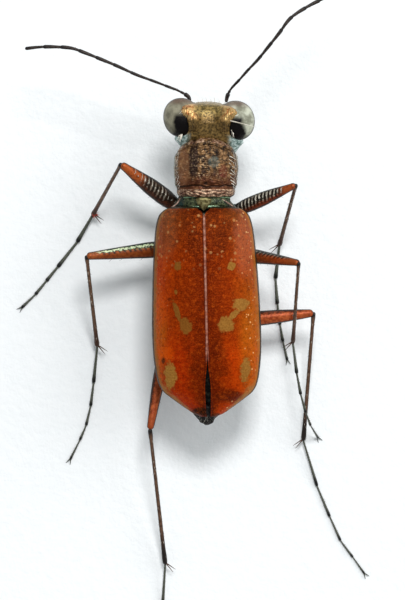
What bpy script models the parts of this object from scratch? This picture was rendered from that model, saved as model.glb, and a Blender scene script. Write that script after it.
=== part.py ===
"""A tiger beetle as a still, life-size museum model, standing on its own six feet.

Everything is worked out in millimetres in the beetle's own frame: +X to its left, -Y ahead of it, +Z up, the floor
at Z = 0 and Y = 0 at the front edge of the wing cases. Each finished piece is scaled to metres as it becomes an
object, and all of them hang from one empty that puts the middle of the whole model on the world's origin.
"""

import math
from collections import namedtuple

import bmesh
import bpy
import numpy as np
from mathutils import Vector

MM = 0.001
GAP = 0.28  # clearance kept between two pieces that meet
MODEL_CENTRE = (0.69, 7.42)  # middle of the whole model's plan in the beetle's own frame

# Trunk: the wing cases, what they cover, and the heights that everything else is set from
CASE_LENGTH = 10.45
BODY_REAR = 10.85  # tip of the abdomen, which shows past the wing cases
CASE_HALF_WIDTH = 2.72
CASE_WALL = 0.5
BACK_HEIGHT = 6.3
CASE_EDGE_HEIGHT = 4.45
BELLY_HEIGHT = 2.9
SUTURE_HALF_GAP = 0.14
HIND_SPLIT_HALF_GAP = 0.2
THORAX_REAR = 5.25

# Prothorax and head
COLLAR_REAR = -0.62
COLLAR_FRONT = -3.4
PROTHORAX_HALF_WIDTH = 1.6
PROTHORAX_HALF_HEIGHT = 1.25
PROTHORAX_CENTRE_HEIGHT = 4.6
HEAD_OFFSET = -0.12  # the head is held a little to the right of the body's line
EYE_CENTRE = (1.5, -4.38, 5.0)
EYE_HALF_SIZE = (0.8, 1.04, 0.95)
EYE_FLAT = 1.04  # distance of the eye's hidden flat inner face from the head's middle
SOCKET_GAP = 0.33

# Limbs
LIMB_RADIUS = 0.25
KNEE_RADIUS = 0.3
FOOT_CENTRE = 0.21  # height of a foot's middle line where it lies on the floor
SPUR_LENGTH = 0.66
CLAW_LENGTH = 0.4

Finish = namedtuple("Finish", "colour roughness metallic")
FINISHES = {
    "wing_case": Finish((0.42, 0.09, 0.02), 0.35, 0.3),
    "copper": Finish((0.16, 0.08, 0.045), 0.45, 0.5),
    "bronze": Finish((0.10, 0.085, 0.04), 0.4, 0.6),
    "green": Finish((0.03, 0.14, 0.09), 0.3, 0.7),
    "eye": Finish((0.19, 0.18, 0.12), 0.15, 0.0),
    "mouth": Finish((0.45, 0.36, 0.2), 0.35, 0.0),
    "thigh": Finish((0.36, 0.07, 0.03), 0.35, 0.2),
    "shin": Finish((0.15, 0.05, 0.03), 0.4, 0.1),
    "foot": Finish((0.03, 0.03, 0.028), 0.4, 0.2),
    "belly": Finish((0.05, 0.07, 0.06), 0.35, 0.6),
}

# Hip, any bend in the thigh, knee, ankle, and the plan and height of the ends of the five foot joints
Leg = namedtuple("Leg", "hip bend knee ankle toes toe_heights", defaults=((FOOT_CENTRE,) * 5,))
LEGS = {
    "front_left": Leg(
        hip=(1.35, 0.05, 2.75),
        bend=(),
        knee=(4.24, -2.12, 4.15),
        ankle=(5.7, 0.38, 0.45),
        toes=((6.5, 1.75), (7.48, 3.0), (8.05, 3.7), (8.6, 4.38), (9.35, 5.1)),
    ),
    "front_right": Leg(
        hip=(-1.35, 0.22, 2.75),
        bend=(),
        knee=(-4.48, -1.08, 4.15),
        ankle=(-3.69, 1.9, 0.45),
        toes=((-3.5, 3.59), (-3.6, 4.87), (-3.73, 5.9), (-3.88, 6.75), (-4.1, 7.7)),
    ),
    "mid_left": Leg(
        hip=(1.35, 2.0, 2.3),
        bend=(),
        knee=(5.96, 2.47, 3.65),
        ankle=(5.47, 6.99, 0.5),
        toes=((5.66, 8.83), (5.81, 10.0), (6.04, 10.97), (6.35, 11.7), (6.85, 12.7)),
    ),
    "mid_right": Leg(
        hip=(-1.5, 2.2, 2.1),
        bend=(),
        knee=(-4.6, 2.75, 5.98),
        ankle=(-4.35, 6.8, 2.42),
        toes=((-4.55, 8.35), (-4.75, 9.4), (-5.0, 10.3), (-5.4, 10.85), (-5.85, 11.5)),
        toe_heights=(2.3, 2.1, 1.86, 1.5, 0.3),
    ),
    "hind_left": Leg(
        hip=(1.35, 5.85, 2.3),
        bend=((2.0, 7.15, 2.45), (2.48, 8.75, 2.7)),
        knee=(2.8, 11.13, 3.0),
        ankle=(2.05, 17.95, 0.45),
        toes=((2.19, 20.15), (2.4, 21.8), (2.68, 23.08), (3.0, 24.08), (3.4, 25.05)),
    ),
    "hind_right": Leg(
        hip=(-1.35, 5.7, 2.3),
        bend=(),
        knee=(-5.38, 5.3, 2.62),
        ankle=(-4.9, 11.73, 0.36),
        toes=((-5.6, 14.03), (-6.24, 15.57), (-6.78, 16.77), (-7.4, 17.6), (-8.0, 18.45)),
    ),
}


def station(value, rows, column):
    """Reads one column of a short table of stations at a place between its rows, with no overshoot."""
    places = [row[0] for row in rows]
    return float(np.interp(value, places, [row[column] for row in rows]))


def curve_through(points, steps):
    """Catmull-Rom curve through the given points, with the given number of steps in each span."""
    points = np.array(points, float)
    if len(points) == 2:
        share = np.linspace(0.0, 1.0, steps + 1)[:, None]
        return points[0] * (1 - share) + points[1] * share
    ends = np.vstack([2 * points[0] - points[1], points, 2 * points[-1] - points[-2]])
    curve = []
    for before, start, end, after in zip(ends[:-3], ends[1:-2], ends[2:-1], ends[3:]):
        for step in range(steps):
            t = step / steps
            curve.append(
                0.5
                * (
                    2 * start
                    + (end - before) * t
                    + (2 * before - 5 * start + 4 * end - after) * t**2
                    + (3 * start - before - 3 * end + after) * t**3
                )
            )
    curve.append(points[-1])
    return np.array(curve)


def shares_along(path):
    """How far along the path each of its points lies, from 0 to 1."""
    steps = np.linalg.norm(np.diff(path, axis=0), axis=1)
    along = np.concatenate([[0.0], np.cumsum(steps)])
    return along / along[-1]


def shell_of(rings, folded=False):
    """One closed mesh from rings of equally many points. A folded ring runs out along one wall and back along the
    other, so its ends close across the wall, and any other ring closes to a pole in its middle."""
    mesh = bmesh.new()
    rows = [[mesh.verts.new(point) for point in ring] for ring in rings]
    count = len(rings[0])
    for lower, upper in zip(rows, rows[1:]):
        for i in range(count):
            j = (i + 1) % count
            mesh.faces.new((lower[i], lower[j], upper[j], upper[i]))
    for ring, row in ((rings[0], rows[0][::-1]), (rings[-1], rows[-1])):
        if folded:
            for i in range(count // 2 - 1):
                mesh.faces.new((row[i], row[i + 1], row[count - 2 - i], row[count - 1 - i]))
            continue
        pole = mesh.verts.new(np.mean(ring, axis=0))
        for i in range(count):
            mesh.faces.new((pole, row[i], row[(i + 1) % count]))
    return facing_out(mesh)


def facing_out(mesh):
    """The closed mesh in triangles whose faces all point out of it."""
    bmesh.ops.triangulate(mesh, faces=mesh.faces)
    if mesh.calc_volume(signed=True) < 0:
        bmesh.ops.reverse_faces(mesh, faces=mesh.faces)
    return mesh


def tube(path, radii, sides=10, up=(0.0, 0.0, 1.0), height=1.0, floor=None):
    """A closed round limb along a path. Height stretches it along up, and floor cuts its underside flat."""
    path = np.array(path, float)
    tangents = np.gradient(path, axis=0)
    tangents /= np.linalg.norm(tangents, axis=1)[:, None]
    sideways = np.cross(tangents, up)
    sideways /= np.linalg.norm(sideways, axis=1)[:, None]
    upward = np.cross(sideways, tangents)
    turns = 2 * math.pi * np.arange(sides) / sides
    rings = []
    for point, across, rise, radius in zip(path, sideways, upward, radii):
        ring = [point + radius * (math.cos(t) * across + height * math.sin(t) * rise) for t in turns]
        rings.append(np.array(ring))
    if floor is not None:
        for ring in rings:
            ring[:, 2] = np.maximum(ring[:, 2], floor)
    return shell_of(rings)


def ellipsoid(centre, half_size, segments=16, rings=9):
    """A closed ball stretched along the three axes."""
    mesh = bmesh.new()
    bmesh.ops.create_uvsphere(mesh, u_segments=segments, v_segments=rings, radius=1.0)
    for vert in mesh.verts:
        vert.co = Vector(c + h * v for c, h, v in zip(centre, half_size, vert.co))
    bmesh.ops.triangulate(mesh, faces=mesh.faces)
    return mesh


def temporary(mesh, collection):
    """An object of this mesh in a collection of its own, for a Boolean to work with."""
    data = bpy.data.meshes.new("working")
    mesh.to_mesh(data)
    mesh.free()
    shape = bpy.data.objects.new("working", data)
    collection.objects.link(shape)
    return shape


def combined(base, others, operation):
    """The base with the other closed meshes joined to it or cut from it, as its largest closed surface."""
    scene = bpy.context.scene.collection
    pieces = bpy.data.collections.new("pieces")
    scene.children.link(pieces)
    for other in others:
        temporary(other, pieces)
    body = temporary(base, scene)
    boolean = body.modifiers.new("Combine", "BOOLEAN")
    boolean.operand_type = "COLLECTION"
    boolean.collection = pieces
    boolean.operation = operation
    boolean.solver = "EXACT"
    bpy.context.view_layer.update()
    result = bpy.data.meshes.new_from_object(body.evaluated_get(bpy.context.evaluated_depsgraph_get()))
    mesh = bmesh.new()
    mesh.from_mesh(result)
    for shape in [body, *pieces.objects]:
        data = shape.data
        bpy.data.objects.remove(shape)
        bpy.data.meshes.remove(data)
    bpy.data.meshes.remove(result)
    bpy.data.collections.remove(pieces)
    return largest_surface(mesh)


def largest_surface(mesh):
    """The mesh with every closed surface but its largest taken away."""
    bmesh.ops.triangulate(mesh, faces=mesh.faces)
    unseen = set(mesh.faces)
    surfaces = []
    while unseen:
        surface = [unseen.pop()]
        for face in surface:
            for edge in face.edges:
                near = [other for other in edge.link_faces if other in unseen]
                unseen.difference_update(near)
                surface.extend(near)
        surfaces.append(surface)
    surfaces.sort(key=lambda surface: sum(face.calc_area() for face in surface))
    for surface in surfaces[:-1]:
        bmesh.ops.delete(mesh, geom=surface, context="FACES")
    return mesh


def material_for(finish_name):
    """The Principled material of one finish, made once."""
    if finish_name in bpy.data.materials:
        return bpy.data.materials[finish_name]
    finish = FINISHES[finish_name]
    material = bpy.data.materials.new(finish_name)
    material.use_nodes = True
    shader = material.node_tree.nodes["Principled BSDF"]
    shader.inputs["Base Color"].default_value = (*finish.colour, 1.0)
    shader.inputs["Roughness"].default_value = finish.roughness
    shader.inputs["Metallic"].default_value = finish.metallic
    return material


def add_piece(beetle, name, mesh, finish_name, origin=(0.0, 0.0, 0.0)):
    """Makes a mesh in millimetres into a named object in metres, with its own origin, under the beetle's empty."""
    start = Vector(origin)
    for vert in mesh.verts:
        vert.co = (vert.co - start) * MM
    data = bpy.data.meshes.new(name)
    mesh.to_mesh(data)
    mesh.free()
    data.materials.append(material_for(finish_name))
    data.shade_smooth()
    data.set_sharp_from_angle(angle=math.radians(40))
    piece = bpy.data.objects.new(name, data)
    piece.location = start * MM
    piece.parent = beetle
    bpy.context.scene.collection.objects.link(piece)
    return piece


# Wing cases

CASE_OUTLINE = (  # along the body, half width
    (0.06, 1.6),
    (0.2, 2.0),
    (0.5, 2.28),
    (1.2, 2.45),
    (2.65, 2.58),
    (4.65, 2.66),
    (6.15, CASE_HALF_WIDTH),
    (7.15, 2.7),
    (8.15, 2.6),
    (8.8, 2.47),
    (9.2, 2.28),
    (9.5, 1.88),
    (10.1, 1.05),
    (CASE_LENGTH, 0.66),
)
CASE_CROWN = (  # along the body, height of the back, height of the side edge
    (0.06, 5.75, 4.65),
    (0.9, 6.08, 4.5),
    (2.5, 6.25, CASE_EDGE_HEIGHT),
    (5.0, BACK_HEIGHT, CASE_EDGE_HEIGHT),
    (7.5, 6.12, 4.5),
    (9.2, 5.62, 4.6),
    (10.1, 5.15, 4.55),
    (CASE_LENGTH, 4.92, 4.5),
)
CASE_FLATNESS = 2.7  # how far out the back stays flat before the sides fall


def dome_height(x, half_width, crown, edge):
    """Height of the vaulted back at a distance x from its middle."""
    share = min(abs(x) / half_width, 1.0)
    return edge + (crown - edge) * (1.0 - share**CASE_FLATNESS) ** 0.5


def case_at(y):
    """Half width, height of the back and height of the side edge of the wing cases at a place along the body."""
    return station(y, CASE_OUTLINE, 1), station(y, CASE_CROWN, 1), station(y, CASE_CROWN, 2)


def suture_gap(y):
    """Half the gap between the wing cases, which leave room for the scutellum and part towards the tail."""
    places = (0.06, 0.5, 7.0, 9.5, 9.9, CASE_LENGTH)
    gaps = (0.5, SUTURE_HALF_GAP, SUTURE_HALF_GAP, HIND_SPLIT_HALF_GAP, 0.24, 0.46)
    return float(np.interp(y, places, gaps))


def wing_case(side, columns=9):
    """One wing case as a shell of even wall, side +1 for left and -1 for right."""
    places = [row[0] for row in CASE_OUTLINE]
    places += [(a + b) / 2 for a, b in zip(places[2:], places[3:])]
    outer, inner = [], []
    for y in sorted(places):
        half_width, crown, edge = case_at(y)
        seam = suture_gap(y)
        wall = min(CASE_WALL, 0.45 * (half_width - seam))
        drop = min(CASE_WALL, 0.8 * (crown - edge))
        outside, inside = [], []
        for share in np.sin(np.linspace(0.0, math.pi / 2, columns)):
            x = seam + share * (half_width - seam)
            outside.append((side * x, y, dome_height(x, half_width, crown, edge)))
            x = seam + share * (half_width - wall - seam)
            inside.append((side * x, y, dome_height(x, half_width - wall, crown - drop, edge)))
        outer.append(outside)
        inner.append(inside)
    rings = [np.array(outside + inside[::-1]) for outside, inside in zip(outer, inner)]
    return shell_of(rings, folded=True)


# Thorax and abdomen under the wing cases

SIDE_INSET = 0.42
DOME_INSET = CASE_WALL + 0.42
UNDERSIDE_FULLNESS = 1.45
DOME_BELOW_EDGE = 0.2
SIDE_BELOW_EDGE = 0.4
TRUNK_LOW = (  # along the body, height of the underside
    (-0.35, 3.5),
    (0.6, 3.1),
    (2.0, BELLY_HEIGHT),
    (5.2, 2.85),
    (8.0, 3.0),
    (9.6, 3.4),
    (10.4, 3.85),
    (BODY_REAR, 4.05),
)


def trunk_ring(y, half_width, crown, edge, swell=1.0):
    """A cross-section that fills the space under the wing cases and bulges below their edges."""
    low = station(y, TRUNK_LOW, 1)
    side_x, side_z = half_width - SIDE_INSET, edge - SIDE_BELOW_EDGE
    dome_x, dome_z = max(half_width - DOME_INSET, 0.3 * half_width), edge - DOME_BELOW_EDGE
    half = []
    for t in np.linspace(0.0, math.pi / 2, 6):
        power = 2 / UNDERSIDE_FULLNESS
        depth = (side_z - low) * swell
        half.append((side_x * math.sin(t) ** power, side_z - depth * math.cos(t) ** power))
    for t in np.linspace(0.0, 1.0, 5)[:-1]:
        x = dome_x * math.cos(t * math.pi / 2)
        half.append((x, max(dome_height(x, dome_x, crown - DOME_INSET, edge), dome_z)))
    top = (0.0, crown - DOME_INSET)
    left = [(x, y, z) for x, z in half]
    right = [(-x, y, z) for x, z in half[1:]]
    return np.array(left + [(top[0], y, top[1])] + right[::-1])


def thorax():
    """Middle and hind thorax in one, narrow at the neck of the body and full under the wing cases."""
    shoulders = ((-0.34, 1.45, 5.6, 4.55), (-0.1, 1.5, 5.6, 4.55), (0.15, 1.75, 5.65, 4.5))
    rings = [trunk_ring(*row) for row in shoulders]
    for y in (0.6, 1.2, 2.0, 2.8, 3.6, 4.4, THORAX_REAR):
        rings.append(trunk_ring(y, *case_at(y)))
    return shell_of(rings)


TAIL = (  # along the body, half width, heights of the top and the underside
    (9.85, 0.98, 4.36, 3.5),
    (10.15, 0.94, 4.28, 3.55),
    (10.45, 0.86, 4.26, 3.62),
    (10.7, 0.66, 4.24, 3.74),
    (BODY_REAR, 0.36, 4.16, 3.9),
)
PLATES_REAR = 9.5


def tail_ring(y, half_width, top, low, count=20):
    """A round cross-section of the tail end, counted from the middle of the underside as the trunk's are."""
    turns = 2 * math.pi * np.arange(count) / count
    middle, reach = (top + low) / 2, (top - low) / 2
    return np.array([(half_width * math.sin(t), y, middle - reach * math.cos(t)) for t in turns])


def abdomen(belly_plates=6, step=0.05):
    """The abdomen, its belly plates stepped one over the next, with the tail end showing past the wing cases."""
    start = THORAX_REAR + GAP
    length = (PLATES_REAR - start) / belly_plates
    rings = []
    for plate in range(belly_plates):
        front = start + plate * length
        for share, swell in ((0.02, 1.0 - step), (0.5, 1.0), (0.98, 1.0 + step)):
            y = front + share * length
            half_width, crown, edge = case_at(y)
            half_width = min(half_width, case_at(y + 1.5 * GAP)[0])
            rings.append(trunk_ring(y, half_width, crown, edge, swell))
    rings += [tail_ring(*row) for row in TAIL]
    return shell_of(rings)


SCUTELLUM_COLUMNS = ((-1.1, -0.24), (-0.3, -0.24), (0.0, 0.14), (0.3, -0.24), (1.1, -0.24))  # x, rear edge


def scutellum(low=5.28, high=5.72, fall=0.16):
    """The green band and small triangle between the prothorax and the wing cases, falling to each side."""
    front = COLLAR_REAR + GAP
    columns = []
    for x, rear in SCUTELLUM_COLUMNS:
        drop = fall * abs(x)
        corners = ((front, low), (rear, low), (rear, high), (front, high))
        columns.append(np.array([(x, y, z - drop) for y, z in corners]))
    return shell_of(columns)


# Prothorax

PROTHORAX = (  # along the body, share of the full width, share of the full height
    (COLLAR_FRONT, 0.42, 0.66),
    (-3.28, 0.54, 0.8),
    (-3.1, 0.64, 0.88),
    (-2.92, 0.77, 0.9),
    (-2.7, 0.92, 0.96),
    (-2.2, 0.98, 1.0),
    (-1.7, 1.0, 1.0),
    (-1.25, 0.98, 0.98),
    (-1.02, 0.93, 0.92),
    (-0.9, 0.9, 0.88),
    (-0.78, 0.92, 0.92),
    (COLLAR_REAR, 0.86, 0.86),
)


def superellipse_ring(centre_x, y, centre_z, half_width, half_height, count=24, power=2.5):
    """A cross-section between an ellipse and a box, with a fine groove down the middle of its top."""
    ring = []
    for i in range(count):
        t = 2 * math.pi * i / count + math.pi / 2
        c, s = math.cos(t), math.sin(t)
        x = math.copysign(abs(c) ** (2 / power), c) * half_width
        z = math.copysign(abs(s) ** (2 / power), s) * half_height
        groove = 0.05 if i == 0 else 0.0
        ring.append((centre_x + x, y, centre_z + z - groove))
    return np.array(ring)


def prothorax():
    """The barrel behind the head, with a cross groove near each end and a line down the middle."""
    rings = []
    for y, wide, high in PROTHORAX:
        rings.append(
            superellipse_ring(
                0.0,
                y,
                PROTHORAX_CENTRE_HEIGHT,
                PROTHORAX_HALF_WIDTH * wide,
                PROTHORAX_HALF_HEIGHT * high,
            )
        )
    return shell_of(rings)


# Head

HEAD_SECTIONS = (  # crown or face (y, z), throat (y, z), half width
    ((-3.7, 5.35), (-3.7, 3.85), 0.95),
    ((-3.9, 5.6), (-3.86, 3.7), 1.25),
    ((-4.25, 5.74), (-3.98, 3.56), 1.3),
    ((-4.65, 5.64), (-4.08, 3.45), 1.26),
    ((-4.97, 5.3), (-4.16, 3.36), 1.2),
    ((-5.12, 4.8), (-4.24, 3.28), 1.12),
    ((-5.17, 4.2), (-4.3, 3.2), 1.04),
    ((-5.17, 3.75), (-4.36, 3.12), 0.95),
    ((-5.12, 3.4), (-4.42, 3.05), 0.86),
)


def head():
    """The skull, bent down so that the face looks ahead, with a flat-bottomed socket for each eye."""
    rings = []
    for crown, throat, half_width in HEAD_SECTIONS:
        middle = (np.array(crown) + np.array(throat)) / 2
        reach = (np.array(crown) - np.array(throat)) / 2
        ring = []
        for i in range(22):
            t = 2 * math.pi * i / 22 + math.pi / 2
            c, s = math.cos(t), math.sin(t)
            x = math.copysign(abs(c) ** 0.85, c) * half_width
            y, z = middle + math.copysign(abs(s) ** 0.85, s) * reach
            ring.append((HEAD_OFFSET + x, y, z))
        rings.append(np.array(ring))
    skull = shell_of(rings)
    for side in (1, -1):
        skull = combined(skull, [eye(side, grow=SOCKET_GAP)], "DIFFERENCE")
    return skull


def eye(side, grow=0.0):
    """A bulging compound eye with a flat hidden inner face. Grow makes the socket's cutter from it."""
    mesh = ellipsoid((0.0, 0.0, 0.0), [h + grow for h in EYE_HALF_SIZE])
    inner = EYE_FLAT - grow - EYE_CENTRE[0]
    for vert in mesh.verts:
        vert.co.x = side * max(vert.co.x, inner)
        vert.co += Vector((HEAD_OFFSET + side * EYE_CENTRE[0], EYE_CENTRE[1], EYE_CENTRE[2]))
    return facing_out(mesh)


def labrum():
    """The pale upper lip: a curved plate with three teeth on its edge."""
    top, low, tooth = 2.92, 2.48, 0.12
    front, thick, bow = -5.25, 0.32, 0.12
    shape = ((-0.72, 0.0), (-0.4, 0.5), (-0.2, 0.0), (0.0, 1.0), (0.2, 0.0), (0.4, 0.5), (0.72, 0.0))
    rings = []
    for share in (0.0, 0.5, 1.0):
        z = top + (low - top) * share
        front_row, rear_row = [], []
        for x, bite in shape:
            width = 1.0 - 0.12 * share
            curve = bow * (x / 0.72) ** 2
            drop = tooth * bite if share == 1.0 else 0.0
            front_row.append((HEAD_OFFSET + x * width, front + curve, z - drop))
            rear_row.append((HEAD_OFFSET + x * width, front + curve + thick, z - drop))
        rings.append(np.array(front_row + rear_row[::-1]))
    return shell_of(rings, folded=True)


def mandible(side):
    """A sickle jaw with three inner teeth. The left one closes in front of the right one."""
    ahead = -0.16 if side > 0 else 0.2
    root_y = -4.4
    path = curve_through(
        (
            (side * 0.62, root_y, 2.72),
            (side * 0.9, root_y - 0.05, 2.42),
            (side * 0.8, root_y + 0.5 * ahead, 2.05),
            (side * 0.35, root_y + ahead, 1.78),
            (-side * 0.12, root_y + 1.3 * ahead, 1.72),
        ),
        4,
    )
    path[:, 0] += HEAD_OFFSET
    radii = np.interp(shares_along(path), (0.0, 0.4, 0.8, 1.0), (0.2, 0.2, 0.12, 0.03))
    jaw = tube(path, radii, sides=8, up=(0.0, 1.0, 0.0), height=0.75)
    teeth = []
    for share, length in ((0.45, 0.3), (0.6, 0.26), (0.74, 0.2)):
        root = path[int(share * (len(path) - 1))]
        tip = root + np.array((-side * 0.6, 0.0, 0.8)) * length
        teeth.append(tube([root, (root + tip) / 2, tip], (0.08, 0.06, 0.02), sides=5, up=(0.0, 1.0, 0.0)))
    return combined(jaw, teeth, "UNION")


def palp(side, root, reach, radius):
    """A short jointed feeler under the mouth."""
    root = np.array((side * root[0] + HEAD_OFFSET, root[1], root[2]))
    tip = root + np.array((side * reach[0], reach[1], reach[2]))
    path = curve_through((root, (root + tip) / 2 + np.array((side * 0.08, -0.08, 0.0)), tip), 4)
    waist = (1.0, 1.0, 0.86, 1.0, 1.0, 0.86, 1.0, 0.9, 0.6)
    return tube(path, [radius * w for w in waist], sides=8, up=(0.0, 1.0, 0.0))


# Antennae

ANTENNAE = {  # side: the ends of the twelve joints, from the face out to the tip
    1: (
        (0.82, -5.46, 4.16), (1.1, -5.62, 4.23), (1.42, -5.8, 4.38), (1.75, -5.92, 4.6), (2.47, -6.19, 4.95),
        (3.47, -6.6, 5.35), (4.45, -7.05, 5.6), (5.3, -7.4, 5.72), (6.0, -7.7, 5.75), (6.77, -7.95, 5.7),
        (7.7, -8.03, 5.55), (8.3, -8.0, 5.4), (9.0, -7.9, 5.2),
    ),
    -1: (
        (-0.98, -5.44, 4.18), (-1.1, -5.6, 4.28), (-1.2, -5.8, 4.43), (-1.36, -6.0, 4.6), (-1.65, -6.3, 4.8),
        (-2.1, -6.8, 5.1), (-2.58, -7.3, 5.35), (-3.15, -8.0, 5.6), (-3.63, -8.6, 5.7), (-4.2, -9.35, 5.7),
        (-5.05, -9.93, 5.55), (-5.9, -10.36, 5.4), (-6.4, -10.6, 5.3),
    ),
}
ANTENNA_LENGTHS = (  # name, first and last knot, thickness at its two ends as shares of a limb's
    ("scape", 0, 2, 0.95, 0.9),
    ("stem", 2, 6, 0.9, 0.85),
    ("whip", 6, 12, 0.85, 0.5),
)
RING_SPACING = 0.36


def evenly_along(path, spacing):
    """Points at even distances along a path, from its first point to its last."""
    shares = shares_along(path)
    length = np.linalg.norm(np.diff(path, axis=0), axis=1).sum()
    wanted = np.linspace(0.0, 1.0, max(3, round(length / spacing)) + 1)
    return np.array([[np.interp(share, shares, path[:, axis]) for axis in range(3)] for share in wanted])


def without_start(path, length):
    """The path with this much of its first stretch taken off."""
    along = np.concatenate([[0.0], np.cumsum(np.linalg.norm(np.diff(path, axis=0), axis=1))])
    first = [np.interp(length, along, path[:, axis]) for axis in range(3)]
    return np.vstack([first, path[along > length]])


def antenna_length(side, first, last, thick, thin, steps=6):
    """One length of an antenna between two of its knots, with a gap before it where it follows another."""
    whole = curve_through(ANTENNAE[side], steps)
    path = whole[first * steps : last * steps + 1]
    if first:
        path = without_start(path, GAP + 0.09)
    path = evenly_along(path, RING_SPACING)
    return tube(path, LIMB_RADIUS * np.linspace(thick, thin, len(path)), sides=8)


# Legs

THIGH_SHARES = (0.0, 0.12, 0.35, 0.7, 0.92, 1.0)
THIGH_RADII = {
    "front": (0.22, 0.33, 0.37, 0.3, 0.25, 0.25),
    "mid": (0.22, 0.31, 0.34, 0.29, 0.25, 0.25),
    "hind": (0.22, 0.29, 0.31, 0.28, 0.25, 0.25),
}
COXA_HALF_SIZE = (0.42, 0.6, 0.33)
COXA_LIFT = {"front": 0.02, "mid": 0.07, "hind": 0.07}
COXA_AHEAD = {"front": 0.4, "mid": 0.15, "hind": 0.1}  # how far the hip block's middle lies ahead of the hip


def unit(vector):
    """The vector at length one."""
    return vector / np.linalg.norm(vector)


def thigh(leg, kind):
    """Trochanter and femur in one, stout near the hip and slim at the knee."""
    path = curve_through([leg.hip, *leg.bend, leg.knee], 10 if not leg.bend else 4)
    radii = np.interp(shares_along(path), THIGH_SHARES, THIGH_RADII[kind])
    return tube(path, radii, sides=10, height=1.05)


def distance_to_thigh(point, leg):
    """Distance from a point to the middle line of the lower half of the thigh."""
    knee = np.array(leg.knee)
    upper = np.array(leg.bend[-1] if leg.bend else leg.hip)
    share = np.clip((point - knee) @ (upper - knee) / ((upper - knee) @ (upper - knee)), 0.0, 1.0)
    return np.linalg.norm(point - knee - share * (upper - knee))


def shin(leg, side):
    """The shin with its upper end cut to face the knee, and two spurs at its lower end on the side of the body."""
    knee, ankle = np.array(leg.knee), np.array(leg.ankle)
    along = unit(ankle - knee)
    across = unit(np.cross(along, (0.0, 0.0, 1.0)))
    rise = np.cross(across, along)
    corners = []
    for i in range(8):
        turn = 2 * math.pi * i / 8
        corners.append(LIMB_RADIUS * (math.cos(turn) * across + math.sin(turn) * rise))
    first = []
    for corner in corners:
        point = knee + corner
        while distance_to_thigh(point, leg) < KNEE_RADIUS + GAP:
            point = point + along * 0.01
        first.append(point)
    reach = max((point - knee) @ along for point in first) + 0.1
    rings = [np.array(first)]
    for share, swell in ((0.0, 1.0), (0.5, 0.96), (0.88, 1.0), (1.0, 1.12)):
        middle = knee + along * reach + (ankle - knee - along * reach) * share
        rings.append(np.array([middle + corner * swell for corner in corners]))
    rod = shell_of(rings)
    root = ankle - along * 0.22
    spurs = []
    for lean in (0.15, 0.55):
        aim = unit(np.array((-side * 1.0, lean, -0.05)) + 0.35 * along)
        tip = root + aim * (LIMB_RADIUS + SPUR_LENGTH)
        tip[2] = max(tip[2], 0.12)
        spurs.append(tube(curve_through((root, tip), 3), (0.1, 0.09, 0.07, 0.03), sides=5))
    return combined(rod, spurs, "UNION")


def foot(leg):
    """The five foot joints, flat where they lie on the floor, with two claws."""
    ankle = np.array(leg.ankle)
    joints = [ankle, *[np.array((*toe, height)) for toe, height in zip(leg.toes, leg.toe_heights)]]
    joints[0] = ankle + unit(joints[1] - ankle) * (GAP + 0.2)
    path, radii = [], []
    for start, end in zip(joints, joints[1:]):
        for share, radius in ((0.0, 0.2), (0.3, 0.23), (0.85, LIMB_RADIUS)):
            path.append(start * (1 - share) + end * share)
            radii.append(radius)
    path.append(joints[-1])
    radii.append(0.17)
    rod = tube(path, radii, sides=8, floor=0.0)
    ahead = unit((joints[-1] - joints[-2]) * np.array((1.0, 1.0, 0.3)))
    across = unit(np.cross(ahead, (0.0, 0.0, 1.0)))
    claws = []
    for turn in (-1, 1):
        root = joints[-1] - ahead * 0.15
        middle = root + ahead * 0.33 + across * turn * 0.13 + np.array((0.0, 0.0, 0.02))
        tip = root + ahead * (0.15 + CLAW_LENGTH) + across * turn * 0.26
        tip[2] = 0.05
        claw_path = curve_through((root, middle, tip), 3)
        claws.append(tube(claw_path, np.linspace(0.09, 0.03, len(claw_path)), sides=5, floor=0.0))
    return combined(rod, claws, "UNION")


def coxa(leg, kind, side):
    """The hip block between the body's underside and the thigh."""
    inward = COXA_HALF_SIZE[0] + GAP + 0.11
    centre = np.array(leg.hip) + np.array((-side * inward, -COXA_AHEAD[kind], COXA_LIFT[kind]))
    return ellipsoid(centre, COXA_HALF_SIZE, segments=12, rings=7)


def add_legs(beetle):
    """All six legs, each in four pieces."""
    for name, leg in LEGS.items():
        kind, side_name = name.split("_")
        side = 1 if side_name == "left" else -1
        add_piece(beetle, f"coxa_{name}", coxa(leg, kind, side), "belly", leg.hip)
        add_piece(beetle, f"femur_{name}", thigh(leg, kind), "thigh", leg.hip)
        add_piece(beetle, f"tibia_{name}", shin(leg, side), "shin", leg.knee)
        add_piece(beetle, f"tarsus_{name}", foot(leg), "foot", leg.ankle)


def add_head(beetle):
    """The head with all that it carries."""
    add_piece(beetle, "head", head(), "bronze")
    add_piece(beetle, "labrum", labrum(), "mouth")
    for side, word in ((1, "left"), (-1, "right")):
        add_piece(beetle, f"eye_{word}", eye(side), "eye")
        add_piece(beetle, f"mandible_{word}", mandible(side), "mouth")
        add_piece(beetle, f"maxillary_palp_{word}", palp(side, (0.98, -3.82, 3.3), (0.1, 0.0, -1.1), 0.2), "foot")
        add_piece(beetle, f"labial_palp_{word}", palp(side, (0.33, -3.8, 3.15), (0.0, 0.0, -0.8), 0.18), "foot")
        for length_name, *knots_and_thickness in ANTENNA_LENGTHS:
            mesh = antenna_length(side, *knots_and_thickness)
            add_piece(beetle, f"antenna_{word}_{length_name}", mesh, "foot")


def add_trunk(beetle):
    """The prothorax, the wing cases and what they cover."""
    add_piece(beetle, "prothorax", prothorax(), "copper")
    add_piece(beetle, "scutellum", scutellum(), "green")
    add_piece(beetle, "thorax", thorax(), "belly")
    add_piece(beetle, "abdomen", abdomen(), "belly")
    for side, word in ((1, "left"), (-1, "right")):
        add_piece(beetle, f"elytron_{word}", wing_case(side), "wing_case")


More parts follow.
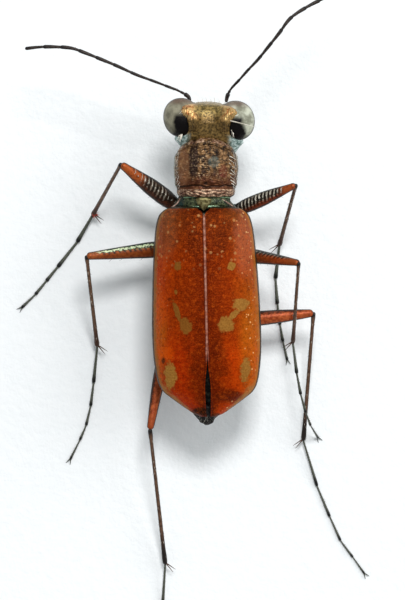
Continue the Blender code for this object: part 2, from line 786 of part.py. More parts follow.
def main():
    """Clears the scene and builds the beetle."""
    for old in list(bpy.data.objects):
        bpy.data.objects.remove(old)
    beetle = bpy.data.objects.new("tiger_beetle", None)
    beetle.location = (-MODEL_CENTRE[0] * MM, -MODEL_CENTRE[1] * MM, 0.0)
    bpy.context.scene.collection.objects.link(beetle)
    add_trunk(beetle)
    add_head(beetle)
    add_legs(beetle)
    bpy.context.view_layer.update()


if __name__ == "__main__":
    main()
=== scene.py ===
"""A tiger beetle as a still, life-size museum model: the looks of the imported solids.

Sizes are in millimetres in the beetle's own frame: +X to its left, -Y ahead of it, +Z up, the floor at Z = 0 and
Y = 0 at the front edge of the wing cases. A mesh becomes metres in the world when its piece is made.
"""

from __future__ import annotations

import logging
import math
from collections.abc import Callable, Sequence
from dataclasses import dataclass, field
from enum import Enum
from itertools import product

import bpy
import numpy as np
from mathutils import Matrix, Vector

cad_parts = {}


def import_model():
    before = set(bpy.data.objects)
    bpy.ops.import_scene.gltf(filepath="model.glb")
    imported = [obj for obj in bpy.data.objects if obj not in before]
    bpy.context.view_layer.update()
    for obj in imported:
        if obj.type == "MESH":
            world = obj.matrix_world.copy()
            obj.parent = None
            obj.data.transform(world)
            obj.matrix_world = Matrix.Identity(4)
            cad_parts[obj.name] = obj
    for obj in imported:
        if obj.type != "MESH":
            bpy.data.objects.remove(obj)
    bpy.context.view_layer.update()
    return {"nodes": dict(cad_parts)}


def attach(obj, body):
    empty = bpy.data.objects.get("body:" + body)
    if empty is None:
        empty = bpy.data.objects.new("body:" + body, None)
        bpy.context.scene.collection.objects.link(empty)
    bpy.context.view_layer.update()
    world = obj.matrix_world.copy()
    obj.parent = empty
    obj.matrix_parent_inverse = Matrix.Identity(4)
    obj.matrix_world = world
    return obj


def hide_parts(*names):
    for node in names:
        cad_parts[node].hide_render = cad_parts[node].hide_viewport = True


LOG = logging.getLogger("tiger_beetle")
MM = 0.001
MODEL_CENTRE = np.array((0.69, 7.42, 0.0))  # the world's origin, in the beetle's own frame
UP = (0.0, 0.0, 1.0)
AHEAD = (0.0, -1.0, 0.0)
BODY = "root"
SIDES = ((1, "left"), (-1, "right"))

Array = np.ndarray
Colour = tuple[float, float, float]
Point = tuple[float, float, float]
Socket = bpy.types.NodeSocket


# Curves, relief and surfaces


@dataclass(frozen=True)
class Profile:
    """A size that changes smoothly along a line, read between a few stations."""

    stations: tuple[tuple[float, float], ...]

    def at(self, places: Array | float) -> Array:
        """Reads the size with a cubic that never overshoots its stations.

        Args:
            places: Where along the line to read it.

        Returns:
            The size at each place.
        """
        x, y = np.array(self.stations, float).T
        step = np.diff(x)
        slope = np.diff(y) / step
        turn = np.zeros_like(y)
        turn[0], turn[-1] = slope[0], slope[-1]
        before, after = slope[:-1], slope[1:]
        level = before * after > 0
        near, far = 2 * step[1:] + step[:-1], step[1:] + 2 * step[:-1]
        safe = np.where(level, before, 1.0), np.where(level, after, 1.0)
        turn[1:-1] = np.where(level, (near + far) / (near / safe[0] + far / safe[1]), 0.0)
        places = np.clip(np.asarray(places, float), x[0], x[-1])
        i = np.clip(np.searchsorted(x, places, "right") - 1, 0, len(x) - 2)
        t = (places - x[i]) / step[i]
        rise = y[i] * (1 + 2 * t) * (1 - t) ** 2 + y[i + 1] * t**2 * (3 - 2 * t)
        return rise + step[i] * (turn[i] * t * (1 - t) ** 2 - turn[i + 1] * t**2 * (1 - t))


@dataclass(frozen=True)
class Grain:
    """Smooth random relief in space, the same in every run."""

    seed: int
    size: float

    def at(self, points: Array) -> Array:
        """Reads the relief.

        Args:
            points: Places in space, one a row.

        Returns:
            A number from -1 to 1 for each place.
        """
        lattice = np.random.default_rng(self.seed).uniform(-1, 1, (32, 32, 32))
        cell = points / self.size
        base = np.floor(cell).astype(int)
        share = cell - base
        share = share * share * (3 - 2 * share)
        total = np.zeros(len(points))
        for corner in product((0, 1), repeat=3):
            weight = np.prod(np.where(corner, share, 1 - share), axis=1)
            place = (base + corner) % 32
            total += weight * lattice[place[:, 0], place[:, 1], place[:, 2]]
        return total


@dataclass(frozen=True)
class Pits:
    """Round dimples scattered over a flat plan, one in each square of a grid."""

    seed: int
    spacing: float
    radius: float

    def at(self, plan: Array) -> Array:
        """Reads the dimples.

        Args:
            plan: Places on the plan, one a row.

        Returns:
            0 outside every dimple, rising to 1 at the middle of one.
        """
        rng = np.random.default_rng(self.seed)
        jitter = rng.uniform(0.2, 0.8, (64, 64, 2))
        width = rng.uniform(0.6, 1.15, (64, 64))
        cell = plan / self.spacing
        base = np.floor(cell).astype(int)
        depth = np.zeros(len(plan))
        for corner in product((-1, 0, 1), repeat=2):
            square = base + corner
            i, j = square[:, 0] % 64, square[:, 1] % 64
            away = np.linalg.norm((square + jitter[i, j] - cell) * self.spacing, axis=1)
            share = np.clip(1 - away / (self.radius * width[i, j]), 0, 1)
            depth = np.maximum(depth, share * share * (3 - 2 * share))
        return depth


def unit(vectors: Array) -> Array:
    """Returns the vectors at length one."""
    vectors = np.asarray(vectors, float)
    return vectors / np.maximum(np.linalg.norm(vectors, axis=-1, keepdims=True), 1e-12)


def smooth(share: Array) -> Array:
    """Returns shares from 0 to 1 eased at both ends."""
    share = np.clip(share, 0, 1)
    return share * share * (3 - 2 * share)


def curve_through(points: Sequence[Point], steps: int = 8) -> Array:
    """Draws a smooth curve through points.

    Args:
        points: The points that the curve passes.
        steps: How many steps each span is divided into.

    Returns:
        The curve's points, one a row.
    """
    points = np.array(points, float)
    if len(points) == 2:
        return np.linspace(points[0], points[1], steps + 1)
    ends = np.vstack([2 * points[0] - points[1], points, 2 * points[-1] - points[-2]])
    t = (np.arange(steps) / steps)[:, None]
    spans = []
    for a, b, c, d in zip(ends[:-3], ends[1:-2], ends[2:-1], ends[3:]):
        spans.append(0.5 * (2 * b + (c - a) * t + (2 * a - 5 * b + 4 * c - d) * t**2 + (3 * b - a - 3 * c + d) * t**3))
    return np.vstack([*spans, points[-1:]])


def lengths_along(path: Array) -> Array:
    """Returns how far along the path each of its points lies."""
    return np.concatenate([[0.0], np.cumsum(np.linalg.norm(np.diff(path, axis=0), axis=1))])


def point_at(path: Array, lengths: Array) -> Array:
    """Returns the points that lie these lengths along the path."""
    along = lengths_along(path)
    return np.stack([np.interp(lengths, along, path[:, axis]) for axis in range(3)], axis=-1)


def frames_along(path: Array, up: Point) -> tuple[Array, Array, Array]:
    """Finds the directions of a limb at each point of its path.

    Args:
        path: The limb's middle line.
        up: A direction that is never along the path.

    Returns:
        The directions along, across and above the path, one a row each.
    """
    along = unit(np.gradient(path, axis=0))
    across = unit(np.cross(along, up))
    return along, across, np.cross(across, along)


class Cap(Enum):
    """How the first and last ring of a lofted surface close."""

    POLE = "pole"
    FOLD = "fold"


@dataclass
class Surface:
    """Points, faces and named numbers at the points of one or more closed surfaces."""

    points: Array = field(default_factory=lambda: np.zeros((0, 3)))
    faces: list[tuple[int, ...]] = field(default_factory=list)
    marks: dict[str, Array] = field(default_factory=dict)

    def volume(self) -> float:
        """Returns the signed volume, below zero where the faces point inwards."""
        total = 0.0
        for size in (3, 4):
            group = np.array([face for face in self.faces if len(face) == size], int)
            for i in range(1, size - 1 if len(group) else 0):
                a, b, c = (self.points[group[:, k]] for k in (0, i, i + 1))
                total += float(np.einsum("ij,ij->", a, np.cross(b, c))) / 6
        return total

    def facing_out(self) -> Surface:
        """Returns the surface with its faces turned outwards."""
        if self.volume() < 0:
            self.faces = [face[::-1] for face in self.faces]
        return self

    def with_other(self, other: Surface) -> Surface:
        """Returns this surface and another one side by side."""
        shift = len(self.points)
        names = {*self.marks, *other.marks}
        marks = {}
        for name in names:
            mine = self.marks.get(name, np.zeros(shift))
            marks[name] = np.concatenate([mine, other.marks.get(name, np.zeros(len(other.points)))])
        faces = self.faces + [tuple(i + shift for i in face) for face in other.faces]
        return Surface(np.vstack([self.points, other.points]), faces, marks)

    def moved(self, shift: Point | Array) -> Surface:
        """Returns the surface moved by this much."""
        return Surface(self.points + np.asarray(shift, float), list(self.faces), dict(self.marks))

    def normals(self) -> Array:
        """Returns the direction that the surface faces at each point."""
        total = np.zeros_like(self.points)
        for size in (3, 4):
            group = np.array([face for face in self.faces if len(face) == size], int)
            if not len(group):
                continue
            corners = self.points[group]
            normal = np.cross(corners[:, 2] - corners[:, 0], corners[:, -1] - corners[:, 1 if size == 4 else 0])
            for k in range(size):
                np.add.at(total, group[:, k], normal)
        return unit(total)

    def raised(self, heights: Array) -> Surface:
        """Returns the surface with each point moved outwards by its height."""
        return Surface(self.points + self.normals() * heights[:, None], self.faces, self.marks)


def joined(surfaces: Sequence[Surface]) -> Surface:
    """Returns several surfaces as one."""
    whole = surfaces[0]
    for other in surfaces[1:]:
        whole = whole.with_other(other)
    return whole


def loft(rings: Array, cap: Cap = Cap.POLE, **marks: Array) -> Surface:
    """Skins rings of equally many points into a closed surface.

    Args:
        rings: The rings' points, ring by ring.
        cap: How the first and last ring close. A folded ring runs out along one wall and back along the other.
        **marks: Named numbers for each point of each ring.

    Returns:
        The closed surface.
    """
    count, size = rings.shape[:2]
    index = np.arange(count * size).reshape(count, size)
    after = np.roll(index, -1, axis=1)
    faces = np.stack([index[:-1], after[:-1], after[1:], index[1:]], axis=-1).reshape(-1, 4).tolist()
    points = rings.reshape(-1, 3)
    flat = {name: np.broadcast_to(values, (count, size)).reshape(-1) for name, values in marks.items()}
    for ring, row in ((0, index[0][::-1]), (count - 1, index[-1])):
        if cap is Cap.FOLD:
            for i in range(size // 2 - 1):
                faces.append([row[i], row[i + 1], row[size - 2 - i], row[size - 1 - i]])
            continue
        pole = len(points)
        points = np.vstack([points, rings[ring].mean(axis=0)])
        flat = {name: np.append(values, values[row].mean()) for name, values in flat.items()}
        faces.extend([pole, row[i], row[(i + 1) % size]] for i in range(size))
    return Surface(points, [tuple(int(i) for i in face) for face in faces], flat).facing_out()


def limb(
    path: Array,
    radii: Profile,
    sides: int = 14,
    spacing: float = 0.09,
    up: Point = UP,
    height: float = 1.0,
    shape: Callable[[Array, Array], Array] | None = None,
) -> Surface:
    """Makes a round limb with rounded ends along a path.

    Args:
        path: The middle line.
        radii: The radius by the share of the length.
        sides: How many sides its cross-section has.
        spacing: The distance between two rings.
        up: A direction that is never along the path.
        height: The cross-section's height as a share of its width.
        shape: A factor on the radius by the share of the length and the turn round the limb.

    Returns:
        The closed limb, marked with along from 0 to 1, rise from -1 below to 1 above, and lead the same way across.
    """
    length = lengths_along(path)[-1]
    ends = radii.at(np.array((0.0, 1.0)))
    first, last = (min(float(end), 0.3 * length) for end in ends)
    curve = 1 - np.cos(np.linspace(0.12, math.pi / 2, 5))
    middle = np.linspace(first, length - last, max(3, round(length / spacing)) + 1)
    places = np.concatenate([curve * first, middle[1:-1], length - curve[::-1] * last])
    blunt = np.sqrt(np.clip(1 - np.clip(1 - places / first, 0, 1) ** 2, 0, 1))
    blunt *= np.sqrt(np.clip(1 - np.clip(1 - (length - places) / last, 0, 1) ** 2, 0, 1))
    share = places / length
    radius = radii.at(share) * blunt
    line = point_at(path, places)
    _, across, above = frames_along(line, up)
    turns = 2 * math.pi * np.arange(sides) / sides
    radius = np.repeat(radius[:, None], sides, axis=1)
    if shape:
        radius = radius * shape(share[:, None], turns[None, :])
    wide = (radius * np.cos(turns))[..., None] * across[:, None]
    high = (radius * np.sin(turns) * height)[..., None] * above[:, None]
    return loft(line[:, None] + wide + high, along=share[:, None], rise=np.sin(turns)[None], lead=np.cos(turns)[None])


def ball(centre: Point, half_size: Point, rows: int = 24, columns: int = 32, power: float = 2.0) -> Surface:
    """Makes a closed ball stretched along the three axes.

    Args:
        centre: Its middle.
        half_size: Half its size along each axis.
        rows: Rings from pole to pole.
        columns: Points in each ring.
        power: 2 for an ellipsoid, more for a fuller one.

    Returns:
        The ball, marked with rise from -1 at its lowest to 1 at its highest.
    """
    down = np.linspace(0.06, math.pi - 0.06, rows)
    turn = 2 * math.pi * np.arange(columns) / columns

    def full(value: Array) -> Array:
        """Returns a sine or cosine pushed outwards by the power."""
        return np.sign(value) * np.abs(value) ** (2 / power)

    x = full(np.sin(down))[:, None] * full(np.cos(turn))
    y = full(np.sin(down))[:, None] * full(np.sin(turn))
    z = np.repeat(full(np.cos(down))[:, None], columns, axis=1)
    rings = np.stack([x, y, z], axis=-1) * np.array(half_size) + np.array(centre)
    return loft(rings, rise=z)


# Finishes


@dataclass
class Painter:
    """Adds nodes to one material, whose patterns are measured in millimetres in the beetle's own frame."""

    name: str
    material: bpy.types.Material = field(init=False)

    def __post_init__(self) -> None:
        """Makes the empty material and the millimetre coordinates that its patterns read."""
        self.material = bpy.data.materials.new(self.name)
        self.material.use_nodes = True
        self.shader = self.material.node_tree.nodes["Principled BSDF"]
        source = self.add("ShaderNodeTexCoord").outputs["Object"]
        scale = (1 / MM,) * 3
        self.place = self.add("ShaderNodeMapping", Vector=source, Location=tuple(MODEL_CENTRE), Scale=scale).outputs[0]
        parts = self.add("ShaderNodeSeparateXYZ", Vector=self.place)
        self.x, self.y, self.z = parts.outputs

    def add(self, kind: str, settings: dict[str, object] | None = None, **inputs: object) -> bpy.types.Node:
        """Adds a node.

        Args:
            kind: Its type.
            settings: The node's own properties.
            **inputs: Values or sockets for its inputs by name.

        Returns:
            The node.
        """
        node = self.material.node_tree.nodes.new(kind)
        for name, value in (settings or {}).items():
            setattr(node, name, value)
        for name, value in inputs.items():
            self.feed(node.inputs[name.replace("_", " ")], value)
        return node

    def feed(self, socket: Socket, value: object) -> None:
        """Sets a socket to a value, or links another socket to it."""
        if isinstance(value, bpy.types.NodeSocket):
            self.material.node_tree.links.new(value, socket)
        elif socket.type == "RGBA":
            socket.default_value = (*value[:3], 1.0)
        else:
            socket.default_value = value

    def number(self, operation: str, *values: object) -> Socket:
        """Returns the result of a sum on numbers or sockets."""
        node = self.add("ShaderNodeMath", {"operation": operation})
        for socket, value in zip(node.inputs, values):
            self.feed(socket, value)
        return node.outputs[0]

    def times(self, *values: object) -> Socket:
        """Returns the product of numbers or sockets."""
        total = values[0]
        for value in values[1:]:
            total = self.number("MULTIPLY", total, value)
        return total

    def band(self, value: Socket, start: float, end: float, low: float = 0.0, high: float = 1.0) -> Socket:
        """Returns a number that eases from low to high as the value goes from start to end."""
        if start > end:
            start, end, low, high = end, start, high, low
        node = self.add("ShaderNodeMapRange", {"interpolation_type": "SMOOTHSTEP"}, Value=value)
        for name, number in (("From Min", start), ("From Max", end), ("To Min", low), ("To Max", high)):
            node.inputs[name].default_value = number
        return node.outputs[0]

    def mix(self, share: object, first: object, second: object) -> Socket:
        """Returns the colour between a first and a second one."""
        node = self.add("ShaderNodeMix", {"data_type": "RGBA"})
        for socket, value in zip((node.inputs[0], node.inputs[6], node.inputs[7]), (share, first, second)):
            self.feed(socket, value)
        return node.outputs[2]

    def noise(self, size: float, detail: float = 3.0, shift: float = 0.0, stretch: Point = (1.0, 1.0, 1.0)) -> Socket:
        """Returns cloudy noise from 0 to 1 with lumps of this size in millimetres."""
        moved = self.add("ShaderNodeMapping", Vector=self.place, Scale=stretch, Location=(shift, 2 * shift, 0.0))
        node = self.add("ShaderNodeTexNoise", Vector=moved.outputs[0], Scale=1 / size, Detail=detail, Roughness=0.6)
        return node.outputs[0]

    def specks(self, spacing: float, size: float, kept: float, shift: float = 0.0) -> Socket:
        """Makes small round specks.

        Args:
            spacing: The distance between two specks.
            size: A speck's radius as a share of the spacing.
            kept: How much cloud a place needs to keep its speck, from 0 for all to 1 for none.
            shift: Moves the pattern.

        Returns:
            1 on a speck and 0 elsewhere.
        """
        moved = self.add("ShaderNodeMapping", Vector=self.place, Location=(shift, shift, 0.0))
        node = self.add("ShaderNodeTexVoronoi", Vector=moved.outputs[0], Scale=1 / spacing)
        dot = self.band(node.outputs[0], size, size * 0.5)
        return self.times(dot, self.band(self.noise(spacing * 1.5, 1.0, shift), kept - 0.04, kept + 0.04))

    def blob(self, x: float, y: float, half_width: float, half_length: float, turn: float = 0.0) -> Socket:
        """Returns how far each place lies from the middle of an oval seen from above, 1 at its edge."""
        local = self.add(
            "ShaderNodeMapping",
            {"vector_type": "TEXTURE"},
            Vector=self.place,
            Location=(x, y, 0.0),
            Rotation=(0.0, 0.0, turn),
            Scale=(half_width, half_length, 1000.0),
        )
        away = self.add("ShaderNodeVectorMath", {"operation": "LENGTH"})
        self.feed(away.inputs[0], local.outputs[0])
        return away.outputs["Value"]

    def mark(self, name: str) -> Socket:
        """Returns a named number of the piece's points."""
        return self.add("ShaderNodeAttribute", {"attribute_name": name}).outputs["Fac"]

    def bump(self, height: Socket, depth: float) -> Socket:
        """Returns a surface direction with relief of this depth in millimetres."""
        return self.add("ShaderNodeBump", Height=height, Distance=depth * MM, Strength=1.0).outputs[0]

    def finish(self, **inputs: object) -> bpy.types.Material:
        """Sets the shader's own inputs and returns the material."""
        for name, value in inputs.items():
            self.feed(self.shader.inputs[name.replace("_", " ")], value)
        return self.material


@dataclass(frozen=True)
class Cuticle:
    """Hard skin in two mingled tones with fine grain, and other tones above and at each joint's two ends."""

    name: str
    tone: Colour
    other_tone: Colour
    metallic: float = 0.4
    roughness: float = 0.4
    lump: float = 0.25
    grain: float = 0.012
    above: Colour | None = None
    starts: Colour | None = None
    ends: Colour | None = None

    def material(self) -> bpy.types.Material:
        """Returns the material."""
        paint = Painter(self.name)
        cloud = paint.noise(self.lump)
        colour = paint.mix(paint.band(cloud, 0.35, 0.65), self.tone, self.other_tone)
        # For the shins and feet the tone above stands for painted light on their lit upper side; for the belly finish
        # it darkens the upper side to near black.
        if self.above:
            mottle = paint.band(paint.noise(self.lump * 0.5, 3.0, 4.0), 0.36, 0.56, 0.35, 1.0)
            colour = paint.mix(paint.times(paint.band(paint.mark("rise"), 0.45, 0.9), mottle), colour, self.above)
        if self.starts:
            colour = paint.mix(paint.band(paint.mark("along"), 0.05, 0.02), colour, self.starts)
        if self.ends:
            colour = paint.mix(paint.band(paint.mark("along"), 0.7, 0.92), colour, self.ends)
        return paint.finish(
            Base_Color=colour,
            Metallic=self.metallic,
            Roughness=paint.band(cloud, 0.3, 0.7, self.roughness - 0.08, self.roughness + 0.1),
            Specular_IOR_Level=0.3,
            Normal=paint.bump(paint.noise(self.lump * 0.3, 2.0), self.grain),
        )


SPOTS = (
    (1.4, 2.97, 0.17, 0.24, -0.3),
    (1.5, 4.25, 0.09, 0.12, 0.0),
    (1.44, 5.25, 0.13, 0.55, 0.32),
    (1.02, 5.93, 0.3, 0.42, 0.3),
    (-1.26, 2.95, 0.21, 0.23, 0.0),
    (-1.72, 4.87, 0.44, 0.31, 0.1),
    (-1.38, 5.4, 0.15, 0.4, -0.75),
    (-1.01, 5.87, 0.41, 0.38, -0.2),
    (1.77, 8.4, 0.32, 0.66, 0.06),
    (-1.95, 8.15, 0.25, 0.62, -0.1),
)


@dataclass(frozen=True)
class WingCaseFinish:
    """Red-brown wing cases with an orange flank, an olive margin, a dark edge and ten pale spots, with painted light:
    tones that differ left and right as the light falls, painted glints and a painted sheen on the shoulders.
    """

    name: str = "wing_case_cuticle"

    def spots(self, paint: Painter) -> Socket:
        """Returns how far each place is from the nearest spot's middle, 1 at a spot's edge."""
        nearest = paint.blob(*SPOTS[0])
        for spot in SPOTS[1:]:
            nearest = paint.number("SMOOTH_MIN", nearest, paint.blob(*spot), 0.4)
        return nearest

    def ground(self, paint: Painter, across: Socket, along: Socket) -> Socket:
        """Paints the ground colour.

        Args:
            paint: The material's painter.
            across: The distance from the seam as a share of the width.
            along: The distance from the front as a share of the length.

        Returns:
            The colour.
        """
        wander = paint.band(paint.noise(0.8, 3.0), 0.2, 0.8, -0.12, 0.12)
        place = paint.number("ADD", across, wander)
        # Painted light: the flank and glow tones below differ between the left and right side as the light falls, mixed
        # by this share.
        right = paint.band(paint.x, 0.3, -0.3)
        colour = paint.mix(paint.band(place, 0.05, 0.5), (0.12, 0.008, 0.0005), (0.21, 0.018, 0.0005))
        flank = paint.mix(right, (0.375, 0.036, 0.001), (0.3, 0.047, 0.0015))
        colour = paint.mix(paint.band(place, 0.42, 0.88), colour, flank)
        glow = paint.times(paint.band(place, 0.15, 0.5), paint.band(along, 0.55, 0.75), 0.6)
        colour = paint.mix(glow, colour, paint.mix(right, (0.43, 0.021, 0.0005), (0.53, 0.041, 0.0005)))
        dull = paint.mix(paint.band(place, 0.2, 0.8), (0.055, 0.006, 0.001), (0.1, 0.028, 0.006))
        colour = paint.mix(paint.times(paint.band(along, 0.3, 0.02), 0.85), colour, dull)
        for x, y, half_width, half_length, share, tone in (
            # The first two patches, on the shoulders, are a painted sheen.
            (2.05, 1.2, 0.6, 1.5, 0.35, (0.2, 0.085, 0.035)),
            (-2.05, 1.7, 0.65, 1.8, 0.4, (0.42, 0.12, 0.06)),
            (-2.4, 6.9, 0.75, 3.0, 0.5, (0.43, 0.115, 0.004)),
            (2.55, 6.8, 0.6, 2.8, 0.45, (0.44, 0.12, 0.006)),
            (-1.15, 9.42, 0.74, 0.36, 0.85, (0.07, 0.006, 0.001)),
            (2.0, 7.3, 0.42, 0.42, 0.5, (0.66, 0.08, 0.001)),
            (2.25, 5.2, 0.3, 0.8, 0.35, (0.6, 0.055, 0.001)),
            (2.12, 7.66, 0.1, 0.17, 0.9, (0.02, 0.008, 0.003)),
            (1.8, 4.62, 0.13, 0.08, 0.6, (0.03, 0.004, 0.001)),
            (-0.75, 1.7, 0.35, 0.6, 0.45, (0.05, 0.004, 0.001)),
            (0.6, 1.9, 0.35, 0.8, 0.45, (0.05, 0.004, 0.001)),
            (-0.55, 6.9, 0.3, 0.9, 0.3, (0.06, 0.005, 0.001)),
            (0.9, 6.9, 0.3, 0.5, 0.3, (0.06, 0.005, 0.001)),
            (0.3, 10.22, 0.45, 0.24, 0.97, (0.004, 0.003, 0.002)),
            (-0.5, 10.4, 0.25, 0.14, 0.9, (0.004, 0.003, 0.002)),
        ):
            patch = paint.band(paint.number("ADD", paint.blob(x, y, half_width, half_length), wander), 1.3, 0.55)
            colour = paint.mix(paint.times(patch, share), colour, tone)
        return colour

    def material(self) -> bpy.types.Material:
        """Returns the material."""
        paint = Painter(self.name)
        across, along = paint.mark("across"), paint.mark("along")
        # Painted light: the rim below comes as a shaded left and a lit right copy, mixed by this share.
        right = paint.band(paint.x, 0.3, -0.3)
        colour = self.ground(paint, across, along)
        for size, shift, share in ((0.055, 3.0, 0.38), (0.2, 6.0, 0.3)):
            grain = paint.noise(size, 3.0, shift)
            colour = paint.mix(paint.band(grain, 0.5, 0.72, 0.0, share), colour, (0.55, 0.09, 0.006))
            colour = paint.mix(paint.band(grain, 0.5, 0.28, 0.0, 1.4 * share), colour, (0.04, 0.003, 0.0005))
        colour = paint.mix(paint.times(paint.specks(0.17, 0.3, 0.52), 0.4), colour, (0.04, 0.006, 0.001))
        # Painted highlight: pale pinkish glints scattered over the front third.
        pale = paint.times(paint.specks(0.34, 0.3, 0.48, 5.0), paint.band(along, 0.34, 0.2), 0.6)
        colour = paint.mix(pale, colour, (0.4, 0.2, 0.07))
        # Painted highlight: bright glints on the outer part of each case, stronger towards the right.
        glints = paint.times(paint.specks(0.24, 0.24, 0.47, 2.0), paint.band(across, 0.6, 0.75), 0.7)
        colour = paint.mix(paint.times(glints, paint.band(paint.x, 0.3, -0.3, 0.2, 1.0)), colour, (0.9, 0.5, 0.2))
        edge = paint.number("ADD", across, paint.band(paint.noise(0.25, 2.0), 0.3, 0.7, -0.015, 0.015))
        rim = paint.mix(right, (0.22, 0.1, 0.012), (0.34, 0.11, 0.008))
        colour = paint.mix(paint.band(edge, 0.9, 0.95, 0.0, 0.75), colour, rim)
        strip = paint.times(paint.band(edge, 0.76, 0.88), paint.band(along, 0.83, 0.87), paint.band(along, 0.98, 0.95))
        strip = paint.times(strip, paint.band(paint.noise(0.3, 3.0, 1.0), 0.35, 0.6, 0.35, 0.85))
        colour = paint.mix(strip, colour, (0.34, 0.16, 0.04))
        rag = paint.band(paint.noise(0.2, 3.0, 7.0), 0.25, 0.75, -0.24, 0.24)
        ragged = paint.number("ADD", self.spots(paint), rag)
        colour = paint.mix(paint.band(ragged, 1.4, 1.05, 0.0, 0.25), colour, (0.09, 0.01, 0.001))
        light = paint.mix(right, (0.54, 0.28, 0.055), (0.42, 0.21, 0.042))
        spot_tone = paint.mix(paint.noise(0.08, 3.0), (0.1, 0.03, 0.002), light)
        brown = paint.times(paint.band(paint.x, 0.0, 0.6), paint.band(paint.y, 7.4, 6.6), 0.68)
        spot_tone = paint.mix(brown, spot_tone, (0.13, 0.035, 0.003))
        colour = paint.mix(paint.band(ragged, 1.12, 0.8, 0.0, 0.9), colour, spot_tone)
        dark = paint.number("MAXIMUM", paint.band(across, 0.962, 0.978), paint.band(along, 0.014, 0.005))
        colour = paint.mix(dark, colour, (0.012, 0.016, 0.008))
        colour = paint.mix(paint.times(paint.mark("line"), 0.7), colour, (0.03, 0.006, 0.002))
        bead_tone = paint.mix(paint.noise(0.08, 2.0), (0.2, 0.05, 0.035), (0.62, 0.36, 0.27))
        broken = paint.band(paint.noise(0.2, 3.0, 8.0), 0.4, 0.6, 0.35, 0.9)
        colour = paint.mix(paint.times(paint.mark("bead"), broken), colour, bead_tone)
        return paint.finish(
            Base_Color=colour,
            Metallic=0.15,
            Roughness=paint.band(paint.noise(0.3), 0.3, 0.7, 0.38, 0.5),
            Specular_IOR_Level=0.12,
            Specular_Tint=(1.0, 0.4, 0.12),
            Normal=paint.bump(paint.noise(0.05, 2.0), 0.008),
        )


@dataclass(frozen=True)
class EyeFinish:
    """Grey-olive compound eyes with six-sided facets and a clear gloss, with a painted reflection at the front, a
    painted shade patch at the inner rear and painted shade low down.
    """

    name: str
    side: int
    centre: Point
    tone: Colour
    other_tone: Colour

    def material(self) -> bpy.types.Material:
        """Returns the material."""
        paint = Painter(self.name)
        cloud = paint.noise(0.5, 3.0)
        colour = paint.mix(paint.band(cloud, 0.35, 0.65), self.tone, self.other_tone)
        inward = paint.times(paint.number("SUBTRACT", paint.x, self.centre[0]), -float(self.side))
        rear = paint.number("SUBTRACT", paint.y, self.centre[1])
        # Painted reflection: a brown tint over the front of the eye.
        brow = paint.times(paint.band(rear, -0.55, -0.85), 0.75)
        colour = paint.mix(brow, colour, paint.mix(paint.noise(0.15, 2.0), (0.03, 0.02, 0.015), (0.16, 0.07, 0.045)))
        # Painted shade: the near-black patch at the inner rear of the eye.
        slant = paint.number("ADD", inward, paint.number("ADD", paint.times(rear, 0.12), paint.times(cloud, 0.5)))
        dark = paint.times(paint.band(slant, -0.22, 0.02), paint.band(rear, -0.3, 0.0))
        colour = paint.mix(dark, colour, (0.002, 0.001, 0.001))
        # Painted shade: the eye darkens towards its lower edge.
        low = paint.band(paint.z, self.centre[2] + 0.36, self.centre[2] + 0.14, 0.0, 0.95)
        colour = paint.mix(low, colour, (0.02, 0.018, 0.012))
        cells = paint.add("ShaderNodeTexVoronoi", Vector=paint.place, Scale=1 / 0.04)
        return paint.finish(
            Base_Color=colour,
            Roughness=0.4,
            Specular_IOR_Level=0.1,
            Coat_Weight=0.08,
            Coat_Roughness=0.05,
            Normal=paint.bump(cells.outputs[0], 0.012),
        )


@dataclass(frozen=True)
class NeckFinish:
    """The prothorax: rough copper-brown with pale flecks, blue-green at the sides, with a pinkish collar."""

    name: str = "prothorax_cuticle"

    def material(self) -> bpy.types.Material:
        """Returns the material."""
        paint = Painter(self.name)
        cloud, fine = paint.noise(0.32, 4.0), paint.noise(0.14, 3.0, 3.0)
        colour = paint.mix(paint.band(cloud, 0.38, 0.62), (0.02, 0.009, 0.003), (0.185, 0.092, 0.033))
        colour = paint.mix(paint.band(fine, 0.54, 0.66, 0.0, 0.7), colour, (0.38, 0.22, 0.1))
        colour = paint.mix(paint.band(fine, 0.47, 0.36, 0.0, 0.9), colour, (0.006, 0.003, 0.002))
        rear = paint.band(paint.y, -1.9, -1.15, 0.0, 0.75)
        colour = paint.mix(rear, colour, paint.mix(fine, (0.03, 0.006, 0.002), (0.16, 0.04, 0.01)))
        for x, y, half_width, half_length, share, tone in (
            (0.62, -2.25, 0.24, 0.85, 0.85, (0.016, 0.006, 0.004)),
            (1.1, -2.0, 0.25, 0.9, 0.42, (0.34, 0.14, 0.06)),
            (-0.85, -1.75, 0.2, 0.3, 0.6, (0.1, 0.012, 0.004)),
            (-0.4, -2.2, 0.26, 0.26, 0.6, (0.08, 0.1, 0.085)),
        ):
            patch = paint.number("ADD", paint.blob(x, y, half_width, half_length), paint.times(fine, 0.8))
            colour = paint.mix(paint.band(patch, 1.7, 1.2, 0.0, share), colour, tone)
        centre = paint.band(paint.blob(0.2, -2.1, 0.26, 0.85), 1.3, 0.8)
        flecks = paint.times(paint.specks(0.15, 0.42, 0.45, 4.0), paint.band(centre, 0.0, 1.0, 0.3, 0.7))
        colour = paint.mix(paint.times(flecks, paint.band(paint.y, -1.1, -1.5)), colour, (0.34, 0.23, 0.13))
        side = paint.band(paint.mark("rise"), 0.5, -0.05)
        colour = paint.mix(side, colour, paint.mix(cloud, (0.03, 0.06, 0.05), (0.24, 0.3, 0.26)))
        collar = paint.times(paint.band(paint.mark("collar"), 0.3, 0.8), paint.band(fine, 0.35, 0.5, 0.3, 0.95))
        colour = paint.mix(collar, colour, paint.mix(paint.band(paint.noise(0.14), 0.35, 0.65), (0.1, 0.03, 0.014), (0.6, 0.4, 0.26)))
        # Painted shade: the grooves, the notch and the troughs of the collar's ridges are darkened.
        colour = paint.mix(paint.mark("groove"), colour, (0.006, 0.003, 0.002))
        return paint.finish(
            Base_Color=colour,
            Metallic=0.45,
            Roughness=0.38,
            Specular_IOR_Level=0.25,
            Normal=paint.bump(paint.noise(0.07, 3.0), 0.025),
        )


